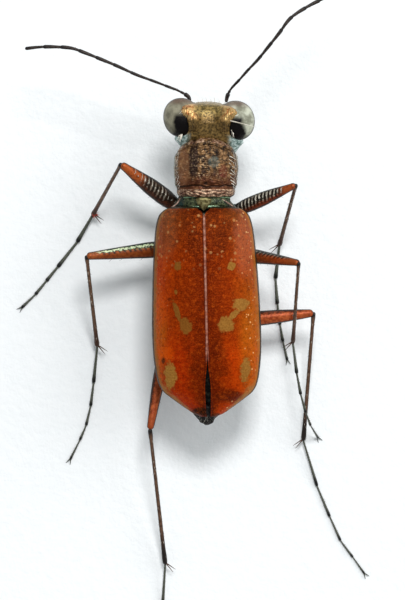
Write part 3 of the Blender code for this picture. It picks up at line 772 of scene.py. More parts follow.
@dataclass(frozen=True)
class SkullFinish:
    """The head: bronze-olive, golden on the brows with a painted highlight, and blue-green behind and below the eyes.
    """

    name: str = "skull_cuticle"

    def material(self) -> bpy.types.Material:
        """Returns the material."""
        paint = Painter(self.name)
        cloud = paint.noise(0.12, 4.0)
        colour = paint.mix(paint.band(cloud, 0.35, 0.65), (0.06, 0.035, 0.008), (0.26, 0.155, 0.045))
        ahead = paint.band(paint.y, -4.3, -4.75, 0.0, 0.8)
        colour = paint.mix(ahead, colour, paint.mix(paint.band(cloud, 0.3, 0.7), (0.04, 0.033, 0.008), (0.42, 0.29, 0.09)))
        # The gold on the brows is partly their own colour and partly painted highlight: bright yellow flames, brighter
        # on the left brow.
        flame = paint.band(paint.noise(0.22, 3.0, 2.0), 0.32, 0.6)
        right = paint.band(paint.x, 0.3, -0.1)
        orange = paint.mix(flame, paint.mix(right, (0.36, 0.11, 0.02), (0.28, 0.085, 0.015)), paint.mix(right, (0.76, 0.5, 0.2), (0.52, 0.33, 0.12)))
        colour = paint.mix(paint.times(paint.mark("gold"), paint.band(cloud, 0.3, 0.5)), colour, orange)
        pale = paint.band(paint.noise(0.16, 3.0, 4.0), 0.35, 0.65)
        colour = paint.mix(paint.mark("cool"), colour, paint.mix(pale, (0.08, 0.15, 0.13), (0.6, 0.72, 0.68)))
        return paint.finish(
            Base_Color=colour,
            Metallic=0.5,
            Roughness=0.34,
            Specular_IOR_Level=0.4,
            Normal=paint.bump(paint.noise(0.06, 3.0), 0.016),
        )


BARS = 18


@dataclass(frozen=True)
class ThighFinish:
    """A thigh with a metallic side ahead with painted sheen on it, bars of pale down across it, a painted highlight
    stripe, a red knee and dark outlines.
    """

    name: str
    tone: Colour
    other_tone: Colour
    edge: Colour
    edge_gloss: Colour
    knee: Colour
    bars: float = 0.0
    bars_from: float = 0.12
    ticks: float = 0.7
    reach: float = 0.0
    top: float = 2.0
    highlight_stripe: float = 0.0
    knee_from: float = 0.7

    def material(self) -> bpy.types.Material:
        """Returns the material."""
        paint = Painter(self.name)
        cloud = paint.noise(0.15)
        along = paint.mark("along")
        colour = paint.mix(paint.band(cloud, 0.35, 0.65), self.tone, self.other_tone)
        lead = paint.number("ADD", paint.mark("lead"), paint.band(paint.noise(0.1, 2.0), 0.3, 0.7, -0.14, 0.14))
        # Painted sheen: lighter patches of the edge_gloss tone on the metallic side ahead.
        gloss = paint.mix(paint.band(paint.noise(0.3, 2.0, 2.0), 0.4, 0.6), self.edge, self.edge_gloss)
        edge = paint.times(paint.band(lead, self.reach - 0.1, self.reach + 0.15), paint.band(along, 0.97, 0.8))
        colour = paint.mix(edge, colour, gloss)
        wave = paint.number("SINE", paint.number("SUBTRACT", paint.times(along, 2 * math.pi * BARS), paint.times(lead, 4.0)))
        wave = paint.number("ADD", wave, paint.band(paint.noise(0.12, 2.0, 5.0), 0.25, 0.75, -0.6, 0.6))
        inside = paint.times(paint.band(along, self.bars_from, self.bars_from + 0.08), paint.band(along, self.knee_from + 0.16, self.knee_from + 0.04))
        zone = paint.times(paint.band(lead, self.reach - 0.25, self.reach + 0.05), paint.band(lead, self.top, self.top - 0.2))
        bars = paint.times(paint.band(wave, 0.35, 0.8), zone, inside, self.bars)
        colour = paint.mix(bars, colour, paint.mix(paint.noise(0.1), (0.25, 0.2, 0.13), (0.75, 0.68, 0.55)))
        tick = paint.times(paint.band(wave, 0.0, -0.6), paint.band(lead, self.reach - 0.5, self.reach - 0.2), inside, self.ticks)
        colour = paint.mix(tick, colour, (0.012, 0.008, 0.005))
        knee = paint.mix(paint.band(paint.noise(0.13, 3.0, 8.0), 0.5, 0.66, 0.0, 0.65), self.knee, (0.06, 0.013, 0.006))
        colour = paint.mix(paint.band(along, self.knee_from, self.knee_from + 0.16, 0.0, 0.9), colour, knee)
        # Painted highlight: a bright white-green stripe along the thigh.
        highlight_streak = paint.times(paint.band(lead, 0.42, 0.52), paint.band(lead, 0.8, 0.7), paint.band(cloud, 0.32, 0.5))
        colour = paint.mix(paint.times(highlight_streak, paint.band(along, 0.97, 0.8), self.highlight_stripe), colour, (0.85, 0.95, 0.6))
        rise = paint.mark("rise")
        outline = paint.times(paint.band(rise, 0.66, 0.48), paint.band(rise, -0.3, -0.1), 0.96)
        colour = paint.mix(outline, colour, (0.007, 0.006, 0.004))
        return paint.finish(
            Base_Color=colour,
            Metallic=0.2,
            Roughness=0.36,
            Specular_IOR_Level=0.18,
            Normal=paint.bump(paint.noise(0.05, 2.0), 0.01),
        )


class Tone(Enum):
    """The finishes that several pieces share."""

    # Painted highlight: the pale green ends tone lies on the band's raised lips.
    BAND = Cuticle("green_band", (0.003, 0.007, 0.004), (0.085, 0.1, 0.045), 0.5, 0.3, 0.15, 0.02, ends=(0.2, 0.32, 0.2))
    SCUTELLUM = Cuticle("scutellum_bronze", (0.07, 0.05, 0.015), (0.24, 0.21, 0.09), 0.6, 0.35, 0.12)
    MEMBRANE = Cuticle("membrane_pink", (0.2, 0.1, 0.075), (0.55, 0.4, 0.32), 0.1, 0.4, 0.12)
    BELLY = Cuticle("belly_green", (0.02, 0.045, 0.04), (0.06, 0.05, 0.03), 0.6, 0.3, 0.4, 0.014, (0.004, 0.003, 0.002))
    TAIL = Cuticle("tail_black", (0.003, 0.002, 0.002), (0.012, 0.007, 0.005), 0.1, 0.45, 0.1)
    FRONT_THIGH = ThighFinish(
        "front_thigh_dark", (0.03, 0.01, 0.006), (0.1, 0.03, 0.014), (0.02, 0.011, 0.007), (0.07, 0.035, 0.02),
        (0.4, 0.085, 0.014), bars=0.42, bars_from=0.22, reach=-0.3, top=0.75, knee_from=0.58,
    )
    ZEBRA_THIGH = ThighFinish(
        "front_thigh_barred", (0.09, 0.014, 0.005), (0.22, 0.04, 0.012), (0.008, 0.006, 0.005), (0.04, 0.022, 0.014),
        (0.32, 0.065, 0.013), bars=0.62, ticks=0.85, reach=-0.25, knee_from=0.72,
    )
    MID_THIGH = ThighFinish(
        "mid_thigh_green", (0.18, 0.033, 0.006), (0.29, 0.066, 0.012), (0.006, 0.02, 0.012), (0.06, 0.14, 0.07),
        (0.34, 0.085, 0.02), ticks=0.9, reach=0.3, highlight_stripe=0.85, knee_from=0.8,
    )
    BARRED_THIGH = ThighFinish(
        "mid_thigh_barred", (0.26, 0.04, 0.007), (0.42, 0.085, 0.018), (0.01, 0.008, 0.006), (0.04, 0.03, 0.02),
        (0.3, 0.07, 0.015), bars=0.42, ticks=0.8, reach=0.5, knee_from=0.76,
    )
    HIND_THIGH = ThighFinish(
        "hind_thigh_red", (0.28, 0.042, 0.009), (0.5, 0.11, 0.03), (0.06, 0.014, 0.007), (0.16, 0.04, 0.018),
        (0.32, 0.06, 0.013), ticks=0.25, reach=0.5, knee_from=0.8,
    )
    # Painted light: for the shins below, the lighter tone above stands for their lit upper side.
    SHIN = Cuticle(
        "shin_brown", (0.008, 0.005, 0.004), (0.04, 0.018, 0.01), 0.15, 0.38, 0.3, above=(0.15, 0.075, 0.04),
        starts=(0.01, 0.008, 0.007), ends=(0.05, 0.018, 0.009),
    )
    HIND_SHIN = Cuticle(
        "hind_shin_dark", (0.006, 0.004, 0.003), (0.035, 0.016, 0.01), 0.15, 0.38, 0.3, above=(0.13, 0.065, 0.037),
        starts=(0.01, 0.008, 0.007), ends=(0.014, 0.009, 0.007),
    )
    # Painted light: on the feet the lighter tone above stands for their lit upper side.
    FOOT = Cuticle(
        "foot_olive", (0.012, 0.012, 0.009), (0.06, 0.06, 0.045), 0.2, 0.38, 0.12, above=(0.085, 0.09, 0.066), ends=(0.005, 0.005, 0.004)
    )
    FEELER = Cuticle("feeler_brown", (0.012, 0.008, 0.006), (0.045, 0.031, 0.025), 0.2, 0.45, 0.12, ends=(0.008, 0.006, 0.005))
    CLAW = Cuticle("claw_brown", (0.05, 0.02, 0.01), (0.1, 0.045, 0.025), 0.1, 0.3, 0.1)
    IVORY = Cuticle("lip_ivory", (0.5, 0.4, 0.22), (0.62, 0.53, 0.34), 0.0, 0.35, 0.2)
    JAW = Cuticle("jaw_dark", (0.03, 0.018, 0.01), (0.12, 0.06, 0.025), 0.2, 0.25, 0.2)
    BRISTLE = Cuticle("bristle_white", (0.47, 0.42, 0.33), (0.78, 0.73, 0.63), 0.0, 0.4, 0.3)
    TUFT = Cuticle("bristle_red", (0.35, 0.04, 0.02), (0.5, 0.08, 0.05), 0.0, 0.4, 0.3)

    def dressed(self) -> bpy.types.Material:
        """Returns this finish's material, made once."""
        return bpy.data.materials.get(self.value.name) or self.value.material()


# Pieces


def make_piece(
    name: str, surface: Surface, material: bpy.types.Material, stands_for: Sequence[str] = ()
) -> bpy.types.Object:
    """Makes a surface into a piece of the beetle.

    Args:
        name: The piece's name.
        surface: Its shape in millimetres.
        material: Its finish.
        stands_for: The solids that it replaces.

    Returns:
        The piece.
    """
    mesh = bpy.data.meshes.new(name)
    mesh.from_pydata(((surface.points - MODEL_CENTRE) * MM).tolist(), [], surface.faces)
    for mark, values in surface.marks.items():
        mesh.attributes.new(mark, "FLOAT", "POINT").data.foreach_set("value", values.astype(np.float32))
    mesh.materials.append(material)
    mesh.shade_smooth()
    mesh.set_sharp_from_angle(angle=math.radians(55))
    piece = bpy.data.objects.new(name, mesh)
    bpy.context.scene.collection.objects.link(piece)
    return settle(piece, stands_for)


def settle(piece: bpy.types.Object, stands_for: Sequence[str] = ()) -> bpy.types.Object:
    """Fixes a finished piece to the body and reports it.

    Args:
        piece: The piece, in place.
        stands_for: The solids that it replaces.

    Returns:
        The piece.
    """
    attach(piece, BODY)
    if stands_for:
        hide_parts(*stands_for)
    LOG.info("%s: %d faces", piece.name, len(piece.data.polygons))
    return piece


@dataclass
class Roots:
    """The places, directions and lengths of bristles that are still to grow."""

    places: list[Array] = field(default_factory=list)
    lies: list[Array] = field(default_factory=list)
    reaches: list[float] = field(default_factory=list)

    def add(self, place: Array, lie: Array, reach: float) -> None:
        """Adds one bristle's root, direction and length in millimetres."""
        self.places.append(np.asarray(place, float))
        self.lies.append(unit(lie))
        self.reaches.append(reach)


@dataclass(frozen=True)
class BristleCoat:
    """Tapered, bent bristles grown on roots by Geometry Nodes."""

    slenderness: float = 0.035
    bend: float = 0.12
    unruly: float = 0.12
    seed: int = 7
    patch: float = 0.003

    def tree(self) -> bpy.types.NodeTree:
        """Builds the node tree.

        Returns:
            The tree, with its sizes as named inputs.
        """
        tree = bpy.data.node_groups.new("bristles", "GeometryNodeTree")
        interface = tree.interface
        interface.new_socket("Geometry", in_out="INPUT", socket_type="NodeSocketGeometry")
        for name in ("Slenderness", "Bend", "Unruly"):
            interface.new_socket(name, in_out="INPUT", socket_type="NodeSocketFloat")
        interface.new_socket("Seed", in_out="INPUT", socket_type="NodeSocketInt")
        interface.new_socket("Finish", in_out="INPUT", socket_type="NodeSocketMaterial")
        interface.new_socket("Geometry", in_out="OUTPUT", socket_type="NodeSocketGeometry")
        nodes, link = tree.nodes, tree.links.new
        source, result = nodes.new("NodeGroupInput"), nodes.new("NodeGroupOutput")

        cone = nodes.new("GeometryNodeMeshCone")
        for name, value in (("Vertices", 5), ("Side Segments", 4), ("Radius Top", 0.004), ("Depth", 1.0)):
            cone.inputs[name].default_value = value
        link(source.outputs["Slenderness"], cone.inputs["Radius Bottom"])
        place = nodes.new("GeometryNodeInputPosition")
        parts = nodes.new("ShaderNodeSeparateXYZ")
        link(place.outputs[0], parts.inputs[0])
        square = nodes.new("ShaderNodeMath")
        square.operation = "MULTIPLY"
        link(parts.outputs["Z"], square.inputs[0])
        link(parts.outputs["Z"], square.inputs[1])
        lean = nodes.new("ShaderNodeMath")
        lean.operation = "MULTIPLY"
        link(square.outputs[0], lean.inputs[0])
        link(source.outputs["Bend"], lean.inputs[1])
        offset = nodes.new("ShaderNodeCombineXYZ")
        link(lean.outputs[0], offset.inputs["X"])
        small = nodes.new("ShaderNodeVectorMath")
        small.operation = "SCALE"
        small.inputs["Scale"].default_value = self.patch
        link(cone.outputs["UV Map"], small.inputs[0])
        mapped = nodes.new("GeometryNodeStoreNamedAttribute")
        mapped.data_type, mapped.domain = "FLOAT2", "CORNER"
        mapped.inputs["Name"].default_value = "OFBake"
        link(cone.outputs["Mesh"], mapped.inputs["Geometry"])
        link(small.outputs[0], mapped.inputs["Value"])
        bent = nodes.new("GeometryNodeSetPosition")
        link(mapped.outputs["Geometry"], bent.inputs["Geometry"])
        link(offset.outputs[0], bent.inputs["Offset"])

        lie, reach = nodes.new("GeometryNodeInputNamedAttribute"), nodes.new("GeometryNodeInputNamedAttribute")
        lie.data_type, reach.data_type = "FLOAT_VECTOR", "FLOAT"
        lie.inputs["Name"].default_value, reach.inputs["Name"].default_value = "lie", "reach"
        stray = nodes.new("FunctionNodeRandomValue")
        stray.data_type = "FLOAT_VECTOR"
        stray.inputs["Min"].default_value = (-1.0, -1.0, -1.0)
        link(source.outputs["Seed"], stray.inputs["Seed"])
        scaled = nodes.new("ShaderNodeVectorMath")
        scaled.operation = "SCALE"
        link(stray.outputs[0], scaled.inputs[0])
        link(source.outputs["Unruly"], scaled.inputs["Scale"])
        heading = nodes.new("ShaderNodeVectorMath")
        link(lie.outputs[0], heading.inputs[0])
        link(scaled.outputs[0], heading.inputs[1])
        turned = nodes.new("FunctionNodeAlignRotationToVector")
        turned.axis = "Z"
        link(heading.outputs[0], turned.inputs["Vector"])
        vary = nodes.new("FunctionNodeRandomValue")
        vary.data_type = "FLOAT"
        vary.inputs[2].default_value, vary.inputs[3].default_value = 0.78, 1.15
        link(source.outputs["Seed"], vary.inputs["Seed"])
        size = nodes.new("ShaderNodeMath")
        size.operation = "MULTIPLY"
        link(reach.outputs[0], size.inputs[0])
        link(vary.outputs[1], size.inputs[1])

        grown = nodes.new("GeometryNodeInstanceOnPoints")
        link(source.outputs["Geometry"], grown.inputs["Points"])
        link(bent.outputs["Geometry"], grown.inputs["Instance"])
        link(turned.outputs[0], grown.inputs["Rotation"])
        link(size.outputs[0], grown.inputs["Scale"])
        real = nodes.new("GeometryNodeRealizeInstances")
        link(grown.outputs[0], real.inputs[0])
        dressed = nodes.new("GeometryNodeSetMaterial")
        link(real.outputs[0], dressed.inputs["Geometry"])
        link(source.outputs["Finish"], dressed.inputs["Material"])
        link(dressed.outputs[0], result.inputs[0])
        return tree

    def spread_map(self, mesh: bpy.types.Mesh, roots: Array) -> None:
        """Moves each bristle's patch of the map to its root's place on an unwrap round the roots' long axis.

        Args:
            mesh: The grown bristles, in their roots' order.
            roots: Where the bristles stand.
        """
        centred = roots - roots.mean(axis=0)
        along, out, up = np.linalg.eigh(centred.T @ centred)[1].T[::-1] @ centred.T
        around = np.arctan2(up, out) / (2 * np.pi) + 0.5
        length = (along - along.min()) / max(np.ptp(along), 1e-6)
        places = np.column_stack([around, length]) * (1 - self.patch)
        corners = np.empty(len(mesh.loops) * 2)
        layer = mesh.uv_layers["OFBake"]
        layer.uv.foreach_get("vector", corners)
        layer.uv.foreach_set("vector", (corners.reshape(len(roots), -1, 2) + places[:, None]).ravel())

    def grow(self, name: str, roots: Roots, tone: Tone) -> bpy.types.Object:
        """Grows the bristles into one mesh.

        Args:
            name: The piece's name.
            roots: Where the bristles stand.
            tone: Their finish.

        Returns:
            The piece.
        """
        mesh = bpy.data.meshes.new(name)
        mesh.from_pydata(((np.array(roots.places) - MODEL_CENTRE) * MM).tolist(), [], [])
        mesh.attributes.new("lie", "FLOAT_VECTOR", "POINT").data.foreach_set("vector", np.array(roots.lies).ravel())
        mesh.attributes.new("reach", "FLOAT", "POINT").data.foreach_set("value", np.array(roots.reaches) * MM)
        piece = bpy.data.objects.new(name, mesh)
        bpy.context.scene.collection.objects.link(piece)
        tree = bpy.data.node_groups.get("bristles") or self.tree()
        growth = piece.modifiers.new("Bristles", "NODES")
        growth.node_group = tree
        values = {
            "Slenderness": self.slenderness,
            "Bend": self.bend,
            "Unruly": self.unruly,
            "Seed": self.seed,
            "Finish": tone.dressed(),
        }
        for item in tree.interface.items_tree:
            if item.in_out == "INPUT" and item.name in values:
                growth[item.identifier] = values[item.name]
        bpy.context.view_layer.update()
        grown = bpy.data.meshes.new_from_object(piece.evaluated_get(bpy.context.evaluated_depsgraph_get()))
        piece.modifiers.remove(growth)
        piece.data = grown
        bpy.data.meshes.remove(mesh)
        grown.shade_smooth()
        self.spread_map(grown, np.array(roots.places))
        return settle(piece)


# Wing cases


@dataclass
class WingCases:
    """The two wing cases: vaulted shells with a beaded seam, an inturned edge and fine pits."""

    length: float = 10.45
    wall: float = 0.14
    rim: float = 0.3
    bead_width: float = 0.042
    bead_rise: float = 0.022
    pit_depth: float = 0.016
    rows: int = 330
    columns: int = 110
    flatness: float = 2.6
    outline: Profile = Profile(
        (
            (0.0, 1.5), (0.06, 1.72), (0.2, 2.02), (0.5, 2.28), (1.2, 2.45), (2.65, 2.58), (4.65, 2.68), (6.15, 2.72),
            (7.15, 2.7), (8.15, 2.6), (8.8, 2.46), (9.2, 2.24), (9.5, 1.88), (10.1, 1.05), (10.3, 0.75), (10.45, 0.4),
        )
    )
    crown: Profile = Profile(
        (
            (0.0, 5.62), (0.06, 5.75), (0.9, 6.08), (2.5, 6.25), (5.0, 6.3), (7.5, 6.12), (9.2, 5.62), (10.1, 5.1),
            (10.45, 4.86),
        )
    )
    edge: Profile = Profile(((0.0, 4.75), (0.9, 4.5), (2.5, 4.45), (5.0, 4.45), (9.2, 4.55), (10.45, 4.5)))
    seam: Profile = Profile(
        ((0.0, 0.42), (0.12, 0.3), (0.3, 0.1), (0.5, 0.01), (6.6, 0.01), (7.0, 0.022), (7.5, 0.035), (8.0, 0.06), (8.5, 0.125), (9.1, 0.165), (9.9, 0.145), (10.45, 0.12))
    )

    @staticmethod
    def middle(y: Array | float) -> Array:
        """Returns where the seam lies across the body, a little askew as in the photo."""
        return 0.11 - 0.0225 * np.asarray(y, float)

    def height(self, across: Array, y: Array) -> Array:
        """Reads the back.

        Args:
            across: The distance from the seam as a share of the half width.
            y: The place along the body.

        Returns:
            The height of the back.
        """
        crown, edge = self.crown.at(y), self.edge.at(y)
        return edge + (crown - edge) * (1 - np.clip(across, 0, 1) ** self.flatness) ** 0.52

    def shell(self, side: int) -> Surface:
        """Makes one wing case.

        Args:
            side: 1 for left and -1 for right.

        Returns:
            The closed shell, marked with across, along, bead and line.
        """
        spread = (1 - np.cos(np.linspace(0.0, math.pi, self.rows))) / 2
        y = (0.35 * spread + 0.65 * np.linspace(0.0, 1.0, self.rows)) * self.length
        y = y[:, None]
        width, seam = self.outline.at(y), self.seam.at(y)
        even = np.linspace(0.0, 1.0, self.columns)[None, :]
        share = 0.3 * even + 0.7 * np.sin(even * math.pi / 2)
        share = np.where(even < 0.12, share * (0.35 + 0.65 * even / 0.12), share)
        x = seam + share * np.maximum(width - seam, 0.02)
        z = self.height(x / width, y)
        inner_x = seam + share * np.maximum(width - self.wall - seam, 0.01)
        drop = np.minimum(self.wall, 0.6 * (self.crown.at(y) - self.edge.at(y)))
        inner_z = self.height(inner_x / (width - self.wall * 0.9), y) - drop
        fold = np.array((0.25, 0.6, 1.0))[None, :]
        fold_x = width - self.rim * fold**1.3 * np.minimum(1.0, width)
        fold_z = self.edge.at(y) - 0.11 * np.sin(fold * 2.2)
        back_x = np.concatenate([inner_x, fold_x[:, -1:] + 0.0 * fold], axis=1)
        back_z = np.concatenate([np.maximum(inner_z, self.edge.at(y) + 0.03), fold_z[:, -1:] + 0.03 * fold[:, ::-1]], axis=1)
        all_x = np.concatenate([x, fold_x, back_x[:, ::-1]], axis=1)
        all_z = np.concatenate([z, fold_z, back_z[:, ::-1]], axis=1)
        all_y = np.repeat(y, all_x.shape[1], axis=1)
        rings = np.stack([side * all_x + self.middle(all_y), all_y, all_z], axis=-1)
        half = self.columns + 3
        outside = np.where(np.arange(2 * half) < half, 1.0, 0.0)[None, :]
        across = np.concatenate([share.repeat(self.rows, 0), np.ones((self.rows, 3))], axis=1)
        across = np.concatenate([across, across[:, ::-1]], axis=1)
        distance = all_x - self.seam.at(all_y)
        closed = smooth((all_y - 0.35) / 0.3)
        bead = outside * smooth(1.35 - distance / self.bead_width) * closed
        line = outside * smooth(1 - np.abs(distance - 1.7 * self.bead_width) / (0.6 * self.bead_width)) * closed
        bright = bead * smooth((7.9 - all_y) / 0.8)
        surface = loft(rings, Cap.FOLD, across=across, along=all_y / self.length, bead=bright, line=line)
        pits = Pits(11 + side, 0.135, 0.06).at(surface.points[:, :2])
        lumps = Grain(4, 0.55).at(surface.points) + 0.5 * Grain(14, 0.22).at(surface.points)
        on_top = np.broadcast_to(outside, all_x.shape).reshape(-1) * smooth((surface.points[:, 2] - 4.6) / 0.5)
        flat = 1 - bead.reshape(-1)
        relief = self.bead_rise * bead.reshape(-1) + on_top * flat * (0.012 * lumps - self.pit_depth * pits)
        return surface.raised(relief)

    def build(self) -> None:
        """Makes both wing cases."""
        finish = WingCaseFinish().material()
        for side, word in SIDES:
            make_piece(f"wing_case_{word}", self.shell(side), finish, [f"elytron_{word}"])


# Thorax, abdomen and scutellum


@dataclass
class Trunk:
    """What the wing cases cover: thorax with its side plates, abdomen with its belly plates, tail and scutellum."""

    cases: WingCases
    thorax_front: float = -0.8
    thorax_rear: float = 5.3
    plates: int = 6
    plates_rear: float = 9.75
    low: Profile = Profile(((-0.8, 3.6), (-0.2, 3.45), (0.6, 3.1), (2.0, 2.9), (5.2, 2.85), (8.0, 3.0), (9.6, 3.4), (10.2, 3.7)))
    neck: Profile = Profile(((-0.8, 1.15), (-0.36, 1.3), (-0.1, 1.5), (0.3, 1.85), (0.8, 2.1)))

    def ring(self, y: float, swell: float, count: int = 56) -> Array:
        """Makes one cross-section.

        Args:
            y: The place along the body.
            swell: A factor on the depth of the underside.
            count: How many points it has.

        Returns:
            The cross-section's points.
        """
        half = float(self.cases.outline.at(y)) - 0.3
        if y < 0.8:
            half = min(half, float(self.neck.at(y))) if y > 0.3 else float(self.neck.at(y))
        edge, low = float(self.cases.edge.at(max(y, 0.0))) - 0.12, float(self.low.at(y))
        top = float(self.cases.crown.at(np.clip(y, 0.0, 10.45))) - (0.55 if y > 0 else 0.4)
        turn = 2 * math.pi * np.arange(count) / count
        x = half * np.sign(np.sin(turn)) * np.abs(np.sin(turn)) ** 0.8
        rise = -np.cos(turn)
        z = np.where(rise < 0, edge - (edge - low) * swell * np.abs(rise) ** 0.85, edge + (top - edge) * np.abs(rise) ** 1.2)
        return np.stack([x + self.cases.middle(y), np.full(count, y), z], axis=-1)

    def skinned(self, rings: Array) -> Surface:
        """Returns rings as a surface whose upper side, under the wing cases, is marked to be black."""
        surface = loft(rings)
        surface.marks["rise"] = np.where((surface.points[:, 2] > 4.5) & (surface.points[:, 1] > 0.1), 1.0, -1.0)
        return surface

    def thorax(self) -> Surface:
        """Makes the middle and hind thorax with the seams between their plates."""
        rings = np.stack([self.ring(y, 1.0) for y in np.linspace(self.thorax_front, self.thorax_rear + 0.15, 110)])
        surface = self.skinned(rings)
        x, y, z = surface.points.T
        seams = smooth(1 - np.abs(z - (3.75 + 0.05 * y)) / 0.05)
        for where, slant in ((1.05, 0.25), (3.1, -0.2), (4.75, 0.3)):
            seams = np.maximum(seams, smooth(1 - np.abs(y - where - slant * np.abs(x)) / 0.05))
        seams = np.maximum(seams, smooth(1 - np.abs(x) / 0.04) * (y > 3.2))
        relief = -0.045 * seams + 0.02 * Grain(8, 0.4).at(surface.points)
        return surface.raised(np.where(z < 4.4, relief, 0.0))

    def abdomen(self) -> Surface:
        """Makes the belly plates, each stepped over the next."""
        places = np.linspace(self.thorax_rear, self.plates_rear, 130)
        length = (self.plates_rear - self.thorax_rear) / self.plates
        share = ((places - self.thorax_rear) / length) % 1.0
        swell = 0.95 + 0.07 * smooth(share * 1.4) - 0.05 * smooth((share - 0.93) / 0.07)
        surface = self.skinned(np.stack([self.ring(y, s) for y, s in zip(places, swell)]))
        return surface.raised(0.012 * Grain(9, 0.25).at(surface.points))

    def tail(self) -> Surface:
        """Makes the dark tail end that shows past the wing cases."""
        rows = (
            (9.5, 1.1, 4.46, 3.45),
            (9.9, 0.86, 4.44, 3.5),
            (10.15, 0.72, 4.4, 3.6),
            (10.42, 0.6, 4.36, 3.72),
            (10.62, 0.41, 4.28, 3.86),
            (10.8, 0.25, 4.2, 3.98),
            (10.87, 0.1, 4.12, 4.04),
        )
        y = np.linspace(rows[0][0], rows[-1][0], 60)
        width, top, low = (Profile(tuple((row[0], row[k]) for row in rows)).at(y)[:, None] for k in (1, 2, 3))
        turn = 2 * math.pi * np.arange(48)[None] / 48
        x = width * np.sin(turn) + self.cases.middle(y)[:, None] + 0.1
        z = (top + low) / 2 - (top - low) / 2 * np.cos(turn)
        surface = loft(np.stack([x, np.repeat(y[:, None], 48, axis=1), z], axis=-1))
        return surface.raised(0.05 * Grain(12, 0.16).at(surface.points))

    def band(self) -> Surface:
        """Makes the green band between the prothorax and the wing cases."""
        x = np.linspace(-1.2, 1.12, 90)
        front = -0.55 + 0.05 * (x / 1.2) ** 2
        rear = 0.12 + 0.12 * (x / 1.2) ** 2
        fall = 0.2 * np.abs(x) ** 1.7
        ends = 0.12 * np.abs(x / 1.16) ** 8
        stations = (
            (0.0, -0.35), (0.0, -0.02), (0.04, 0.04), (0.1, 0.05), (0.17, 0.0), (0.24, 0.03), (0.4, 0.07), (0.6, 0.08),
            (0.72, 0.03), (0.8, 0.06), (0.92, 0.04), (1.0, -0.02), (1.0, -0.35),
        )
        rows = [np.stack([x, front + (rear - front) * share, 5.52 - fall + rise - ends], axis=-1) for share, rise in stations]
        # The lips carry a painted highlight, pale green, along the band's two raised rows.
        lips = np.array((0, 0, 0.5, 0.95, 0.6, 0, 0, 0, 0.6, 1, 0.6, 0, 0)) + 0 * x[:, None]
        surface = loft(np.stack(rows, axis=1), along=lips)
        return surface.raised(0.018 * Grain(13, 0.12).at(surface.points))

    def scutellum(self) -> Surface:
        """Makes the small triangular shield at the root of the seam."""
        y = np.linspace(-0.42, 0.22, 30)[:, None]
        half = np.interp(y, (-0.42, -0.34, -0.1, 0.12, 0.22), (0.3, 0.42, 0.3, 0.1, 0.015))
        turn = 2 * math.pi * np.arange(28)[None] / 28
        x = half * np.cos(turn) + 0.12
        z = 5.58 + (0.12 * half / 0.42 + 0.01) * np.sin(turn)
        surface = loft(np.stack([x, np.repeat(y, 28, axis=1), z], axis=-1))
        return surface.raised(0.014 * Grain(15, 0.1).at(surface.points))

    def flap(self, side: int) -> Surface:
        """Makes the pale folded skin beside the green band."""
        left = ((1.28, -0.42, 4.95), (1.44, -0.16, 4.95), (1.75, 0.08, 4.88))
        right = ((-0.8, -0.36, 5.42), (-1.05, -0.2, 5.32), (-1.35, 0.0, 5.12))
        knots = left if side > 0 else right
        return limb(curve_through(knots, 10), Profile(((0, 0.015), (0.5, 0.035), (1, 0.015))), 12, 0.04, height=0.6)

    def hair(self) -> None:
        """Grows the pale hair at the sides and on the tail."""
        rng = np.random.default_rng(21)
        roots, tail = Roots(), Roots()
        for side, _ in SIDES:
            for _ in range(420):
                y = rng.uniform(-0.2, 9.5)
                ring = self.ring(y, 1.0)
                spot = rng.integers(5, 15)
                point = ring[spot if side > 0 else -spot]
                out = np.array((side * 0.3, 1.0, -0.2)) + rng.normal(0, 0.12, 3)
                roots.add(point, out, rng.uniform(0.16, 0.3))
        for _ in range(45):
            x, y = rng.uniform(-0.5, 0.5), rng.uniform(10.1, 10.7)
            tail.add((x * (11.6 - y) / 1.5, y, 4.36 - 0.25 * abs(x)), (x * 0.8, 0.9, 0.35), rng.uniform(0.1, 0.2))
        BristleCoat(slenderness=0.025).grow("side_hair", roots, Tone.BRISTLE)
        BristleCoat(unruly=0.3).grow("tail_hair", tail, Tone.BRISTLE)

    def build(self) -> None:
        """Makes the trunk's pieces."""
        make_piece("thorax_plates", self.thorax(), Tone.BELLY.dressed(), ["thorax"])
        make_piece("belly_plates", self.abdomen(), Tone.BELLY.dressed(), ["abdomen"])
        make_piece("tail_end", self.tail(), Tone.TAIL.dressed())
        make_piece("green_band", self.band(), Tone.BAND.dressed(), ["scutellum"])
        make_piece("scutellum_shield", self.scutellum(), Tone.SCUTELLUM.dressed())
        for side, word in SIDES:
            make_piece(f"skin_flap_{word}", self.flap(side), Tone.MEMBRANE.dressed())
        self.hair()


# Prothorax


